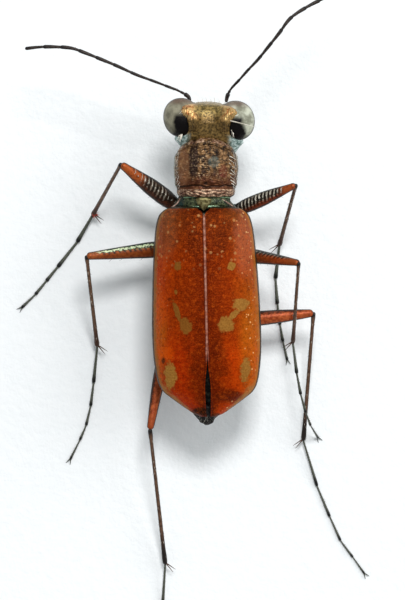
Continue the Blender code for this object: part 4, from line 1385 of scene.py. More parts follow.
@dataclass
class Prothorax:
    """The barrel behind the head: wrinkled, with a cross groove at each end and a line down the middle."""

    front: float = -3.4
    rear: float = -0.44
    half_width: float = 1.6
    half_height: float = 1.25
    centre: float = 4.6
    bow: float = 0.45
    width: Profile = Profile(
        (
            (-3.4, 0.6), (-3.32, 0.78), (-3.2, 0.87), (-3.05, 0.915), (-2.9, 0.935), (-2.6, 0.965), (-2.2, 0.995), (-1.9, 1.0),
            (-1.25, 0.97), (-1.0, 0.94), (-0.88, 0.905), (-0.75, 0.91), (-0.6, 0.88), (-0.5, 0.82), (-0.44, 0.74),
        )
    )
    height: Profile = Profile(
        (
            (-3.4, 0.68), (-3.32, 0.82), (-3.2, 0.88), (-3.05, 0.875), (-2.9, 0.9), (-2.6, 0.97), (-2.2, 1.0), (-1.7, 1.0),
            (-1.25, 0.975), (-1.02, 0.9), (-0.9, 0.865), (-0.78, 0.905), (-0.6, 0.885), (-0.5, 0.84), (-0.44, 0.76),
        )
    )

    def surface(self) -> Surface:
        """Makes the prothorax, marked with rise, collar and groove."""
        y = np.linspace(self.front, self.rear, 210)[:, None]
        turn = 2 * math.pi * np.arange(220)[None] / 220
        power = 2 / 2.4
        sine, cosine = np.sin(turn), np.cos(turn)
        x = np.sign(sine) * np.abs(sine) ** power * self.half_width * self.width.at(y)
        rise = np.sign(cosine) * np.abs(cosine) ** power
        z = self.centre + rise * self.half_height * self.height.at(y)
        swept = y + self.bow * (x / 1.5) ** 2 * smooth((-2.3 - y) / 1.0)
        surface = loft(np.stack([x, swept, z], axis=-1), rise=rise, row=np.broadcast_to(y, x.shape))
        px, _, _ = surface.points.T
        row = surface.marks["row"]
        wobble = 0.08 * Grain(2, 0.33).at(surface.points)
        top = smooth((surface.marks["rise"] + 0.2) / 0.4)
        front_groove = smooth(1 - np.abs(row + 3.03 + wobble) / 0.07)
        rear_groove = smooth(1 - np.abs(row + 0.95 + 0.06 * (px / 1.4) ** 2 + wobble) / 0.08)
        notch = smooth(1 - np.hypot(px - 0.02, row + 1.12) / 0.16)
        middle = smooth(1 - np.abs(px + wobble) / 0.04) * smooth((row + 3.0) / 0.2) * smooth((-0.95 - row) / 0.2)
        sway = wobble + 0.16 * Grain(44, 0.55).at(surface.points) + 0.03 * px
        ridges = 0.5 + 0.5 * np.cos((row + sway + 0.44) * 2 * math.pi / 0.15)
        collar = smooth((row + 0.88) / 0.05)
        groove = np.clip(rear_groove + 0.6 * front_groove + notch + 0.35 * middle, 0, 1) * top
        waves = np.sin((row + 3 * wobble) * 2 * math.pi / 0.115)
        lumps = Grain(5, 0.19).at(surface.points) + 0.6 * Grain(6, 0.1).at(surface.points)
        disc = smooth((row + 3.1) / 0.2) * smooth((-0.85 - row) / 0.15)
        relief = top * disc * (0.009 * waves + 0.03 * lumps) - 0.07 * groove - 0.035 * top * collar * (1 - ridges)
        # The groove mark carries painted shade into the grooves, the notch and the collar's troughs.
        surface.marks["groove"] = np.clip(rear_groove * 0.8 + notch + 0.6 * collar * (ridges < 0.25), 0, 1) * top
        lace = smooth((-3.18 - row) / 0.04) * smooth(0.75 - 0.4 * px + Grain(45, 0.25).at(surface.points))
        surface.marks["collar"] = (collar + lace) * top
        return surface.raised(relief)

    def fringe(self) -> None:
        """Grows the white hair along both sides, coarser on the right."""
        rng = np.random.default_rng(31)
        fine, coarse = Roots(), Roots()
        for side, _ in SIDES:
            for y in np.linspace(-2.7, -1.0, 34):
                width, height = self.half_width * float(self.width.at(y)), self.half_height * float(self.height.at(y))
                for row in range(2):
                    turn = math.radians(60 + 14 * row) + rng.normal(0, 0.05)
                    point = (side * width * math.sin(turn) ** 0.83, y, self.centre + height * math.cos(turn) ** 0.83)
                    fine.add(point, (side * 0.2, 0.7 + rng.normal(0, 0.1), 0.1 - 0.1 * row), rng.uniform(0.12, 0.2))
        for y in np.linspace(-2.5, -1.15, 9):
            width, height = self.half_width * float(self.width.at(y)), self.half_height * float(self.height.at(y))
            turn = math.radians(46) + rng.normal(0, 0.06)
            point = (-width * math.sin(turn) ** 0.83, y, self.centre + height * math.cos(turn) ** 0.83)
            coarse.add(point, (-0.8, 0.5 + rng.normal(0, 0.1), -0.35), rng.uniform(0.3, 0.42))
        BristleCoat(slenderness=0.04).grow("prothorax_fringe", fine, Tone.BRISTLE)
        BristleCoat(slenderness=0.07, unruly=0.08).grow("prothorax_barbs", coarse, Tone.BRISTLE)

    def build(self) -> None:
        """Makes the prothorax and its hair."""
        make_piece("prothorax_barrel", self.surface(), NeckFinish().material(), ["prothorax"])
        self.fringe()


# Head


@dataclass
class Head:
    """Skull with raised brows, side eyes, upper lip, jaws and mouth feelers, all but the mouth feelers turned a little
    to the right.
    """

    offset: float = -0.15
    yaw: float = 0.05
    eye_centre: Point = (1.35, -4.35, 4.84)
    eye_size: Point = (0.93, 0.99, 0.88)
    crown: tuple[tuple[float, float, float], ...] = (
        (0.0, -2.7, 5.0), (0.08, -3.02, 5.22), (0.18, -3.42, 5.46), (0.28, -3.8, 5.6), (0.4, -4.25, 5.66), (0.5, -4.6, 5.62),
        (0.58, -4.88, 5.5), (0.66, -5.06, 5.26), (0.74, -5.15, 4.85), (0.86, -5.2, 4.1), (0.94, -5.19, 3.6), (1.0, -5.12, 3.2),
    )
    throat: tuple[tuple[float, float, float], ...] = (
        (0.0, -2.7, 3.75), (0.3, -3.75, 3.55), (0.6, -4.1, 3.3), (1.0, -4.5, 2.95),
    )
    width: Profile = Profile(
        (
            (0.0, 1.28), (0.08, 1.5), (0.15, 1.72), (0.19, 1.68), (0.28, 1.18), (0.36, 1.08), (0.42, 1.1), (0.5, 1.34),
            (0.56, 1.44), (0.63, 1.4), (0.68, 1.2), (0.75, 1.0), (0.85, 0.94), (1.0, 0.82),
        )
    )

    def turned(self, surface: Surface) -> Surface:
        """Returns a piece of the head turned with it."""
        surface.points[:, 1] -= self.yaw * (surface.points[:, 0] - self.offset)
        return surface

    def skull(self) -> Surface:
        """Makes the skull, marked with gold on the brows and cool behind and below the eyes."""
        s = np.linspace(0.0, 1.0, 170)[:, None]
        turn = 2 * math.pi * np.arange(200)[None] / 200
        crown_y, crown_z = (Profile(tuple((row[0], row[k]) for row in self.crown)).at(s) for k in (1, 2))
        throat_y, throat_z = (Profile(tuple((row[0], row[k]) for row in self.throat)).at(s) for k in (1, 2))
        sine, cosine = np.sin(turn), np.cos(turn)
        boxy = 2.1 + 2.6 * smooth((s - 0.15) / 0.3) - 2.2 * smooth((s - 0.64) / 0.18)
        power = np.where(cosine > 0, 2 / boxy, 2 / 2.2)
        wide = np.sign(sine) * np.abs(sine) ** power
        high = np.sign(cosine) * np.abs(cosine) ** power
        brow = smooth((s - 0.2) / 0.2) * smooth((0.72 - s) / 0.12)
        lift = np.where(cosine > 0, brow * 0.46 * smooth((np.abs(wide) - 0.2) / 0.6), 0.0)
        x = wide * self.width.at(s) + self.offset
        y = (crown_y + throat_y) / 2 + high * (crown_y - throat_y) / 2
        z = (crown_z + throat_z) / 2 + high * (crown_z - throat_z) / 2 + lift
        surface = loft(np.stack([x, y, z], axis=-1), s=s, wide=np.abs(wide), top=np.clip(high, 0, 1))
        px, py, _ = (surface.points - np.array((self.offset, 0.0, 0.0))).T
        part, top, wide = surface.marks["s"], smooth(surface.marks["top"] * 2), surface.marks["wide"]
        fan = np.abs(px) - 0.09 * (py + 4.3) ** 2 + 0.02 * Grain(43, 0.2).at(surface.points)
        window = smooth((part - 0.2) / 0.1) * smooth((0.7 - part) / 0.1)
        striae = np.sin(fan * 2 * math.pi / 0.095) * smooth((wide - 0.3) / 0.2) * window
        seam = smooth(1 - np.abs(part - 0.84 - 0.03 * wide) / 0.015)
        shield = smooth((part - 0.86) / 0.05) * smooth((0.8 - wide) / 0.15)
        lumps = Grain(41, 0.17).at(surface.points) + 0.6 * Grain(42, 0.09).at(surface.points)
        relief = top * (0.016 * striae + 0.02 * lumps) - 0.035 * seam * top + 0.05 * shield * top
        surface.marks["gold"] = top * smooth((wide - 0.38) / 0.25) * smooth((part - 0.38) / 0.08) * smooth((0.7 - part) / 0.05)
        surface.marks["cool"] = np.clip(smooth((0.24 - part) / 0.06) * smooth((wide - 0.5) / 0.2) + (1 - top) * 0.8, 0, 1)
        return surface.raised(relief)

    def eye(self, side: int) -> Surface:
        """Makes one compound eye, closed flat against the skull."""
        centre = (self.offset + side * self.eye_centre[0], self.eye_centre[1], self.eye_centre[2])
        surface = ball(centre, self.eye_size, rows=70, columns=96, power=2.08)
        inner = self.offset + side * 0.7
        points = surface.points
        points[:, 0] = np.maximum(points[:, 0], inner) if side > 0 else np.minimum(points[:, 0], inner)
        return surface

    def socket(self, side: int) -> Surface:
        """Makes the raised ring that an antenna stands in."""
        turn = 2 * math.pi * np.arange(29) / 28
        centre = np.array((self.offset + side * 0.88, -5.12, 4.2))
        ring = centre + 0.17 * np.stack([np.cos(turn), 0 * turn, np.sin(turn)], axis=-1)
        return limb(ring, Profile(((0, 0.045), (1, 0.045))), 12, 0.035, (0.0, 1.0, 0.0))

    def lip(self) -> Surface:
        """Makes the pale upper lip with its three teeth."""
        x = np.linspace(-0.72, 0.72, 73)
        teeth = 0.13 * np.clip(np.cos(x * 2 * math.pi / 0.42), 0, 1) ** 2 * (np.abs(x) < 0.5)
        bow = 0.14 * (x / 0.72) ** 2
        stations = (
            (3.26, 0.0, 0.0), (3.1, -0.05, 0.0), (2.85, -0.1, 0.1), (2.65, -0.1, 0.5), (2.5, -0.06, 0.95), (2.44, 0.0, 1.0),
            (2.5, 0.1, 0.9), (2.75, 0.15, 0.1), (3.26, 0.16, 0.0),
        )
        rows = [
            np.stack([self.offset + x * (1 - 0.12 * (3.26 - z)), -5.14 + forward + bow, z - teeth * share], axis=-1)
            for z, forward, share in stations
        ]
        return loft(np.stack(rows, axis=1))

    def jaw(self, side: int) -> tuple[Surface, Surface]:
        """Makes one sickle jaw.

        Args:
            side: 1 for left and -1 for right.

        Returns:
            The ivory base and the dark blade with its teeth.
        """
        ahead = -0.16 if side > 0 else 0.16
        knots = (
            (side * 0.6, -4.62, 3.2),
            (side * 0.92, -4.62, 2.66),
            (side * 0.86, -4.6 + 0.5 * ahead, 2.16),
            (side * 0.4, -4.62 + ahead, 1.82),
            (-side * 0.14, -4.64 + 1.2 * ahead, 1.74),
        )
        path = curve_through(knots, 10) + np.array((self.offset, 0.0, 0.0))
        ahead_up = (0.0, 1.0, 0.0)
        pieces = [limb(path, Profile(((0, 0.22), (0.3, 0.21), (0.75, 0.12), (1, 0.015))), 16, 0.05, ahead_up, 0.7)]
        for share, length in ((0.42, 0.34), (0.57, 0.3), (0.72, 0.24)):
            root = path[int(share * (len(path) - 1))]
            tip = root + np.array((-side * 0.6, 0.0, 0.8)) * length
            pieces.append(limb(np.linspace(root, tip, 8), Profile(((0, 0.09), (0.6, 0.05), (1, 0.01))), 10, 0.04, ahead_up))
        outer = path[:14] + np.array((side * 0.035, -0.03, 0.0))
        base = limb(outer, Profile(((0, 0.23), (0.7, 0.21), (1, 0.08))), 16, 0.05, ahead_up, 0.7)
        return base, joined(pieces)

    def feeler(self, side: int, root: Point, reach: Point, radius: float, joints: int) -> Surface:
        """Makes one jointed mouth feeler.

        Args:
            side: 1 for left and -1 for right.
            root: Where it leaves the head, on the left.
            reach: From its root to its tip, on the left.
            radius: Its thickness.
            joints: How many joints it has.

        Returns:
            The feeler.
        """
        start = np.array((side * root[0] + self.offset, root[1], root[2]))
        tip = start + np.array((side * reach[0], reach[1], reach[2]))
        line = curve_through((start, (start + tip) / 2 + np.array((side * 0.12, -0.12, 0.0)), tip), 12)
        total = lengths_along(line)[-1]
        radii = Profile(((0, radius * 0.6), (0.7, radius), (1, radius * 0.85)))
        spans = [np.linspace(joint - 0.06, joint + 1, 8) / joints * total for joint in range(joints)]
        return joined([limb(point_at(line, np.clip(span, 0, total)), radii, 12, 0.05, (0.0, 1.0, 0.0)) for span in spans])

    def bristles(self) -> None:
        """Grows the long white bristles beside the eyes and the short ones on the face."""
        long, face = Roots(), Roots()
        for start, end in (
            ((-1.2, -4.25, 5.88), (-2.4, -3.97, 5.95)),
            ((-1.25, -3.8, 5.65), (-1.45, -3.4, 5.8)),
            ((1.2, -4.75, 5.9), (1.36, -4.5, 6.1)),
        ):
            long.add(start, np.subtract(end, start), float(np.linalg.norm(np.subtract(end, start))))
        wedge = Roots()
        for x, y in ((1.19, -3.59), (1.25, -3.57), (1.32, -3.55), (-1.3, -3.85), (-1.36, -3.82)):
            wedge.add((x, y, 5.44), (0.15 * x, 1.0, 0.3), 0.4)
        BristleCoat(slenderness=0.1, unruly=0.15).grow("temple_tufts", wedge, Tone.BRISTLE)
        rng = np.random.default_rng(5)
        for _ in range(110):
            x = rng.uniform(-0.85, 0.85)
            face.add((self.offset + x, -5.1, rng.uniform(3.3, 4.7)), (x * 0.4, -0.7, -0.6), rng.uniform(0.12, 0.26))
        for x in np.linspace(-0.5, 0.5, 6):
            face.add((self.offset + x, -5.2, 2.62), (x * 0.3, -0.8, -0.7), 0.42)
        BristleCoat(slenderness=0.03, bend=0.08, unruly=0.02).grow("brow_bristles", long, Tone.BRISTLE)
        BristleCoat(slenderness=0.04).grow("face_hair", face, Tone.BRISTLE)

    def build(self) -> None:
        """Makes the head's pieces."""
        make_piece("skull", self.turned(self.skull()), SkullFinish().material(), ["head"])
        make_piece("upper_lip", self.turned(self.lip()), Tone.IVORY.dressed(), ["labrum"])
        mouth = ball((self.offset, -4.6, 3.02), (0.66, 0.46, 0.34), 20, 28, 2.4)
        make_piece("mouth_floor", self.turned(mouth), Tone.BELLY.dressed())
        # Painted light: the right eye's tones are lighter than the left's, as the right side is lit.
        tones = {1: ((0.14, 0.13, 0.09), (0.28, 0.26, 0.185)), -1: ((0.2, 0.2, 0.145), (0.52, 0.53, 0.42))}
        for side, word in SIDES:
            x = self.offset + side * self.eye_centre[0]
            centre = (x, self.eye_centre[1] - self.yaw * (x - self.offset), self.eye_centre[2])
            finish = EyeFinish(f"eye_{word}_facets", side, centre, *tones[side]).material()
            make_piece(f"compound_eye_{word}", self.turned(self.eye(side)), finish, [f"eye_{word}"])
            make_piece(f"antenna_socket_{word}", self.turned(self.socket(side)), Tone.SCUTELLUM.dressed())
            base, blade = self.jaw(side)
            make_piece(f"jaw_base_{word}", self.turned(base), Tone.IVORY.dressed())
            make_piece(f"jaw_blade_{word}", self.turned(blade), Tone.JAW.dressed(), [f"mandible_{word}"])
            outer = self.feeler(side, (0.85, -3.9, 3.62), (0.22, -0.08, -1.42), 0.1, 4)
            inner = self.feeler(side, (0.33, -3.95, 3.55), (0.02, -0.05, -1.2), 0.095, 3)
            make_piece(f"outer_mouth_feeler_{word}", outer, Tone.FEELER.dressed(), [f"maxillary_palp_{word}"])
            make_piece(f"inner_mouth_feeler_{word}", inner, Tone.IVORY.dressed(), [f"labial_palp_{word}"])
        self.bristles()


# Antennae


@dataclass
class Antenna:
    """One antenna of eleven joints, each a little thicker at its far end."""

    side: int
    word: str
    knots: Sequence[Point]
    joint_shares: tuple[float, ...] = (0, 0.062, 0.085, 0.19, 0.285, 0.4, 0.505, 0.605, 0.705, 0.805, 0.9, 1.0)
    thickness: Profile = Profile(((0, 0.105), (0.04, 0.1), (0.075, 0.066), (0.2, 0.067), (0.4, 0.08), (0.6, 0.088), (0.85, 0.09), (1, 0.075)))

    def joints(self) -> Surface:
        """Makes the joints."""
        line = curve_through(self.knots, 12)
        total = lengths_along(line)[-1]
        pieces = []
        for start, end in zip(self.joint_shares, self.joint_shares[1:]):
            places = np.linspace(max(start - 0.012, 0.0), end, 14) * total
            radius = float(self.thickness.at((start + end) / 2))
            radii = Profile(((0, radius * 0.75), (0.12, radius * 0.8), (0.85, radius * 1.08), (1, radius)))
            pieces.append(limb(point_at(line, places), radii, 12, 0.07))
        return joined(pieces)

    def hair(self) -> Roots:
        """Returns the roots of the short hair along the antenna."""
        line = curve_through(self.knots, 12)
        total = lengths_along(line)[-1]
        rng = np.random.default_rng(60 + self.side)
        roots = Roots()
        for share in np.linspace(0.1, 0.98, 150):
            point = point_at(line, np.array((share, share + 0.01)) * total)
            along = unit(point[1] - point[0])
            around = unit(np.cross(along, rng.normal(0, 1, 3)))
            radius = float(self.thickness.at(share)) * 0.9
            roots.add(point[0] + around * radius, along + 0.6 * around, rng.uniform(0.05, 0.09))
        return roots

    def build(self) -> None:
        """Makes the antenna and its hair."""
        names = [f"antenna_{self.word}_{part}" for part in ("scape", "stem", "whip")]
        make_piece(f"antenna_joints_{self.word}", self.joints(), Tone.FEELER.dressed(), names)
        BristleCoat(slenderness=0.08).grow(f"antenna_hair_{self.word}", self.hair(), Tone.CLAW)


ANTENNA_KNOTS = {
    1: (
        (0.8, -5.2, 4.2), (0.9, -5.5, 4.2), (1.42, -5.8, 4.38), (1.75, -5.92, 4.6), (2.47, -6.19, 4.95), (3.47, -6.55, 5.35),
        (4.45, -6.99, 5.6), (5.3, -7.34, 5.72), (6.0, -7.62, 5.75), (6.7, -7.86, 5.7), (7.6, -7.93, 5.55), (8.3, -7.92, 5.4),
        (9.0, -7.85, 5.2),
    ),
    -1: (
        (-1.0, -5.2, 4.2), (-1.06, -5.5, 4.22), (-1.2, -5.8, 4.43), (-1.36, -6.0, 4.6), (-1.65, -6.3, 4.8), (-2.1, -6.8, 5.1),
        (-2.58, -7.3, 5.35), (-3.15, -8.0, 5.6), (-3.63, -8.6, 5.7), (-4.2, -9.35, 5.7), (-5.05, -9.93, 5.55),
        (-5.9, -10.36, 5.4), (-6.4, -10.6, 5.3),
    ),
}


# Legs


class Pair(Enum):
    """The three pairs of legs, with the radii of the thigh by the share of its length."""

    FRONT = Profile(((0, 0.25), (0.1, 0.33), (0.28, 0.4), (0.45, 0.39), (0.7, 0.3), (0.93, 0.19), (1, 0.17)))
    MID = Profile(((0, 0.22), (0.1, 0.32), (0.3, 0.36), (0.5, 0.31), (0.75, 0.24), (0.93, 0.18), (1, 0.16)))
    HIND = Profile(((0, 0.2), (0.1, 0.28), (0.3, 0.34), (0.55, 0.31), (0.8, 0.24), (0.94, 0.19), (1, 0.16)))


@dataclass
class Leg:
    """One leg: hip block, trochanter, thigh, shin with spurs, and five foot joints with two claws."""

    name: str
    pair: Pair
    side: int
    hip: Point
    knee: Point
    ankle: Point
    toes: Sequence[tuple[float, float]]
    bend: Sequence[Point] = ()
    toe_heights: Sequence[float] = (0.09, 0.075, 0.07, 0.065, 0.06)
    thickness: float = 1.0
    shin_radius: float = 0.092
    foot_radius: float = 0.07
    coxa_ahead: float = 0.15
    tuft: bool = False
    tone: Tone | None = None

    def thigh_path(self) -> Array:
        """Returns the thigh's middle line."""
        return curve_through((self.hip, *self.bend, self.knee), 10 if self.bend else 24)

    def thigh(self) -> Surface:
        """Makes the thigh, marked with lead from -1 at the rear to 1 at the front."""

        def bulge(share: Array, turn: Array) -> Array:
            """Returns the thigh's thickness as a factor."""
            return self.thickness + 0.0 * share * turn

        surface = limb(self.thigh_path(), self.pair.value, 28, 0.06, height=0.95, shape=bulge)
        surface.marks["lead"] = surface.marks["lead"] * self.side
        return surface

    def hip_block(self) -> Surface:
        """Makes the hip block and the trochanter that joins it to the thigh."""
        centre = np.array(self.hip) + np.array((-self.side * 0.72, -self.coxa_ahead, 0.22))
        block = ball(centre, (0.55, 0.68, 0.52), 26, 34, 2.2)
        block = block.raised(0.02 * Grain(71, 0.15).at(block.points))
        inner = np.array(self.hip) + np.array((-self.side * 0.42, -0.05, 0.0))
        knob = limb(np.linspace(inner, self.thigh_path()[3], 8), Profile(((0, 0.16), (0.5, 0.26), (1, 0.24))), 18, 0.05)
        return block.with_other(knob)

    def shin(self) -> Surface:
        """Makes the shin, slim below the knee and a little wider at the ankle."""
        knee, ankle = np.array(self.knee), np.array(self.ankle)
        r = self.shin_radius
        radii = Profile(((0, r * 1.2), (0.04, r * 1.2), (0.1, r * 0.95), (0.5, r), (0.88, r * 1.15), (0.96, r * 1.4), (1, r * 1.2)))
        return limb(np.linspace(knee + unit(knee - ankle) * 0.05, ankle, 30), radii, 16, 0.09)

    def spurs(self) -> Surface:
        """Makes the two spurs on the body's side of the shin's lower end."""
        knee, ankle = np.array(self.knee), np.array(self.ankle)
        along = unit(ankle - knee)
        root = ankle - along * 0.12
        pieces = []
        for lean in (0.25, 0.7):
            tip = root + unit(np.array((-self.side * 0.8, lean, -0.05)) + 0.35 * along) * 0.66
            tip[2] = max(tip[2], 0.05)
            line = curve_through((root, (root + tip) / 2 + np.array((0.0, 0.0, 0.05)), tip), 8)
            pieces.append(limb(line, Profile(((0, 0.03), (0.5, 0.024), (1, 0.007))), 8, 0.06))
        return joined(pieces)

    def foot_joints(self) -> list[Array]:
        """Returns the ends of the foot joints, from the ankle to the claws."""
        return [np.array(self.ankle), *[np.array((x, y, z)) for (x, y), z in zip(self.toes, self.toe_heights)]]

    def foot(self) -> Surface:
        """Makes the five foot joints and the two claws."""
        ends = self.foot_joints()
        pieces = []
        for number, (start, end) in enumerate(zip(ends, ends[1:])):
            r = self.foot_radius * (1.05 - 0.09 * number)
            radii = Profile(((0, r * 0.7), (0.15, r * 0.72), (0.75, r), (0.93, r * 1.2), (1, r)))
            path = np.linspace(start - unit(end - start) * 0.04, end, 14)
            path[:, 2] += 0.02 * np.sin(np.linspace(0, math.pi, 14))
            pieces.append(limb(path, radii, 14, 0.07))
        ahead = unit((ends[-1] - ends[-2]) * np.array((1.0, 1.0, 0.2)))
        across = unit(np.cross(ahead, UP))
        for turn in (-1, 1):
            root = ends[-1] - ahead * 0.06
            middle = root + ahead * 0.15 + across * turn * 0.07 + np.array((0.0, 0.0, 0.04))
            tip = root + ahead * 0.29 + across * turn * 0.12
            tip[2] = 0.015
            pieces.append(limb(curve_through((root, middle, tip), 8), Profile(((0, 0.032), (0.5, 0.022), (1, 0.006))), 8, 0.05))
        surface = joined(pieces)
        surface.points[:, 2] = np.maximum(surface.points[:, 2], 0.0)
        return surface

    def thigh_bristles(self, pale: Roots, dark: Roots, rng: np.random.Generator) -> None:
        """Adds the thigh's bristles, which lie across it in bars on its front upper side.

        Args:
            pale: The white bristles of all legs.
            dark: The dark bristles of all legs.
            rng: The source of the random draws.
        """
        path = self.thigh_path()
        total = lengths_along(path)[-1]
        first = 2 if self.pair is Pair.FRONT else 5
        barred = self.pair is Pair.FRONT
        for number in range(first, BARS - 3):
            share = (number + 0.25) / BARS
            line = point_at(path, np.array((share - 0.01, share, share + 0.01)) * total)
            along, across, above = (part[1] for part in frames_along(line, UP))
            fore = across * self.side
            radius = float(self.pair.value.at(share)) * self.thickness
            for step in (-0.012, 0.012) if barred else ():
                turn = math.radians(80 + rng.normal(0, 4))
                root = line[1] + (math.cos(turn) * fore + 0.96 * math.sin(turn) * above) * radius + along * step
                pale.add(root, 0.9 * fore + 0.4 * along - 0.42 * above, 0.85 * radius * rng.uniform(0.85, 1.05))
            root = line[1] - fore * radius * 0.97
            if number % 2:
                dark.add(root, 0.7 * along - 0.5 * fore, rng.uniform(0.12, 0.2))
                dark.add(line[1] + above * radius * 0.94, along + 0.25 * above, rng.uniform(0.14, 0.2))

    def bristles(self, pale: Roots, dark: Roots, seed: int) -> None:
        """Adds the roots of this leg's bristles.

        Args:
            pale: The white bristles of all legs.
            dark: The dark bristles of all legs.
            seed: The seed of the random draws.
        """
        rng = np.random.default_rng(seed)
        self.thigh_bristles(pale, dark, rng)
        path = np.linspace(self.knee, self.ankle, 12)
        total = lengths_along(path)[-1]
        for share in np.linspace(0.08, 0.97, int(total / 0.17)):
            line = point_at(path, np.array((share - 0.01, share, share + 0.01)) * total)
            along, across, above = (part[1] for part in frames_along(line, UP))
            for _ in range(3):
                turn = rng.uniform(0, 2 * math.pi)
                out = math.cos(turn) * across + math.sin(turn) * above
                roots = pale if rng.uniform() < 0.4 else dark
                roots.add(line[1] + out * self.shin_radius * 0.9, along + 0.45 * out, rng.uniform(0.1, 0.18))
        ends = self.foot_joints()
        for start, end in zip(ends, ends[1:]):
            along = unit(end - start)
            across = unit(np.cross(along, UP))
            for share in np.linspace(0.25, 0.97, max(3, int(np.linalg.norm(end - start) / 0.16))):
                for side in (-1, 1):
                    point = start + (end - start) * share + across * side * self.foot_radius * 0.7
                    dark.add(point, along + 0.5 * across * side, rng.uniform(0.08, 0.13))

    def red_tuft(self) -> None:
        """Grows the small red tuft at the ankle."""
        rng = np.random.default_rng(81)
        roots = Roots()
        ankle = np.array(self.ankle)
        along = unit(ankle - np.array(self.knee))
        for _ in range(60):
            root = ankle - along * rng.uniform(0.0, 0.3) + rng.normal(0, 0.05, 3)
            roots.add(root, (-self.side * 0.7, 0.4, 0.35) + rng.normal(0, 0.3, 3), rng.uniform(0.14, 0.26))
        BristleCoat(slenderness=0.09).grow(f"tuft_{self.name}", roots, Tone.TUFT)

    def build(self) -> None:
        """Makes the leg's pieces."""
        thigh_tone = self.tone or Tone[f"{self.pair.name}_THIGH"]
        shin_tone = Tone.HIND_SHIN if self.pair is Pair.HIND else Tone.SHIN
        make_piece(f"hip_{self.name}", self.hip_block(), Tone.BELLY.dressed(), [f"coxa_{self.name}"])
        make_piece(f"thigh_{self.name}", self.thigh(), thigh_tone.dressed(), [f"femur_{self.name}"])
        make_piece(f"shin_{self.name}", self.shin(), shin_tone.dressed(), [f"tibia_{self.name}"])
        make_piece(f"spurs_{self.name}", self.spurs(), Tone.CLAW.dressed())
        make_piece(f"foot_{self.name}", self.foot(), Tone.FOOT.dressed(), [f"tarsus_{self.name}"])
        if self.tuft:
            self.red_tuft()


LEGS = (
    Leg(
        "front_left", Pair.FRONT, 1, (1.35, 0.05, 2.75), (4.24, -2.12, 4.15), (5.7, 0.38, 0.45),
        ((6.5, 1.75), (7.48, 3.0), (8.05, 3.7), (8.6, 4.38), (9.3, 5.05)), thickness=1.1, coxa_ahead=0.4, tuft=True,
        foot_radius=0.092,
    ),
    Leg(
        "front_right", Pair.FRONT, -1, (-1.35, 0.22, 2.75), (-4.48, -1.08, 4.15), (-3.69, 1.9, 0.45),
        ((-3.5, 3.59), (-3.6, 4.87), (-3.73, 5.9), (-3.88, 6.75), (-4.1, 7.7)), thickness=0.92, foot_radius=0.086,
        coxa_ahead=0.4, tone=Tone.ZEBRA_THIGH,
    ),
    Leg(
        "mid_left", Pair.MID, 1, (1.35, 2.0, 2.3), (5.96, 2.47, 3.65), (5.47, 6.99, 0.5),
        ((5.66, 8.83), (5.81, 10.0), (6.04, 10.97), (6.35, 11.7), (6.85, 12.7)), thickness=1.12, foot_radius=0.075,
    ),
    Leg(
        "mid_right", Pair.MID, -1, (-1.5, 2.32, 2.1), (-4.6, 2.81, 5.98), (-4.35, 6.8, 2.42),
        ((-4.55, 8.35), (-4.75, 9.4), (-5.0, 10.3), (-5.25, 10.95), (-5.65, 11.6)),
        toe_heights=(2.3, 2.1, 1.86, 1.35, 0.09), shin_radius=0.083, foot_radius=0.074, tone=Tone.BARRED_THIGH,
    ),
    Leg(
        "hind_left", Pair.HIND, 1, (1.35, 5.85, 2.3), (2.8, 11.13, 3.0), (2.05, 17.95, 0.45),
        ((2.19, 20.15), (2.4, 21.8), (2.68, 23.08), (3.0, 24.08), (3.4, 25.05)),
        bend=((2.0, 7.15, 2.45), (2.38, 8.75, 2.7)), coxa_ahead=0.1,
    ),
    Leg(
        "hind_right", Pair.HIND, -1, (-1.35, 5.7, 2.3), (-5.38, 5.3, 2.62), (-4.9, 11.73, 0.36),
        ((-5.6, 14.03), (-6.24, 15.57), (-6.78, 16.77), (-7.4, 17.6), (-8.0, 18.45)), thickness=1.1, coxa_ahead=0.1, foot_radius=0.064,
    ),
)


# Studio


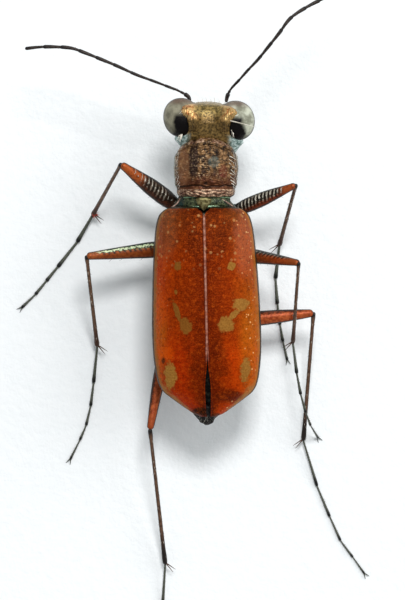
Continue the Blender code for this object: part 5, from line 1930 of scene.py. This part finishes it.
@dataclass
class Studio:
    """A plain pale floor, a soft key light from ahead, a weaker one from the right, and the camera straight above."""

    pixels_high: int = 600
    pixels_per_mm: float = 20.0
    aim: Point = (0.175, 4.65, 3.0)
    distance: float = 400.0
    sensor: float = 36.0
    floor_size: float = 1.6
    key_from: Point = (-0.1, -0.52, 1.0)
    key_distance: float = 0.35
    key_size: float = 0.085
    key_power: float = 0.81
    side_power: float = 2.05
    sky: float = 0.42

    def floor(self) -> None:
        """Lays the floor."""
        paint = Painter("paper")
        fleck = paint.noise(0.6, 4.0)
        colour = paint.mix(fleck, (0.84, 0.865, 0.875), (0.89, 0.9, 0.905))
        relief = paint.bump(paint.noise(0.5, 4.0, 9.0), 0.05)
        material = paint.finish(Base_Color=colour, Roughness=0.9, Specular_IOR_Level=0.1, Normal=relief)
        half = self.floor_size / 2
        mesh = bpy.data.meshes.new("floor")
        corners = [(-half, -half, 0.0), (half, -half, 0.0), (half, half, 0.0), (-half, half, 0.0)]
        mesh.from_pydata(corners, [], [(0, 1, 2, 3)])
        mesh.materials.append(material)
        floor = bpy.data.objects.new("floor", mesh)
        bpy.context.scene.collection.objects.link(floor)

    def light(self, name: str, direction: Point, distance: float, size: float, power: float) -> None:
        """Hangs one soft light.

        Args:
            name: The light's name.
            direction: Where it hangs, seen from the beetle.
            distance: How far away it hangs, in metres.
            size: The length of its side, in metres.
            power: Its power in watts.
        """
        lamp = bpy.data.lights.new(name, "AREA")
        lamp.size = size
        lamp.energy = power
        holder = bpy.data.objects.new(name, lamp)
        away = Vector(direction).normalized()
        holder.location = away * distance
        holder.rotation_euler = away.to_track_quat("Z", "Y").to_euler()
        bpy.context.scene.collection.objects.link(holder)

    def camera(self) -> None:
        """Sets the camera straight above, with the beetle's head at the top of the picture."""
        data = bpy.data.cameras.new("camera")
        data.sensor_width = self.sensor
        field_of_view = self.pixels_high / self.pixels_per_mm
        data.lens = self.sensor * self.distance / field_of_view
        data.clip_start, data.clip_end = 0.01, 10.0
        camera = bpy.data.objects.new("camera", data)
        aim = (np.array(self.aim) - MODEL_CENTRE) * MM
        camera.location = (aim[0], aim[1], aim[2] + self.distance * MM)
        camera.rotation_euler = (0.0, 0.0, math.pi)
        bpy.context.scene.collection.objects.link(camera)
        bpy.context.scene.camera = camera

    def build(self) -> None:
        """Makes the floor, the lights and the camera."""
        scene = bpy.context.scene
        scene.view_settings.view_transform = "Standard"
        world = bpy.data.worlds.new("studio")
        world.use_nodes = True
        background = world.node_tree.nodes["Background"]
        background.inputs["Color"].default_value = (0.93, 0.98, 1.0, 1.0)
        background.inputs["Strength"].default_value = self.sky
        scene.world = world
        self.floor()
        self.light("key_light", self.key_from, self.key_distance, self.key_size, self.key_power)
        self.light("side_light", (-0.75, -0.34, 0.6), 0.7, 0.48, self.side_power)
        self.camera()


def main() -> None:
    """Builds the beetle around its solids."""
    logging.basicConfig(level=logging.INFO, format="%(message)s")
    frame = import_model()
    LOG.info("%d solids loaded", len(frame["nodes"]))
    Studio().build()
    cases = WingCases()
    cases.build()
    Trunk(cases).build()
    Prothorax().build()
    Head().build()
    for side, word in SIDES:
        Antenna(side, word, ANTENNA_KNOTS[side]).build()
    pale, dark = Roots(), Roots()
    for seed, leg in enumerate(LEGS):
        leg.build()
        leg.bristles(pale, dark, 100 + seed)
    BristleCoat(slenderness=0.06).grow("leg_bristles_white", pale, Tone.BRISTLE)
    BristleCoat(slenderness=0.05).grow("leg_bristles_dark", dark, Tone.CLAW)


if __name__ == "__main__":
    main()
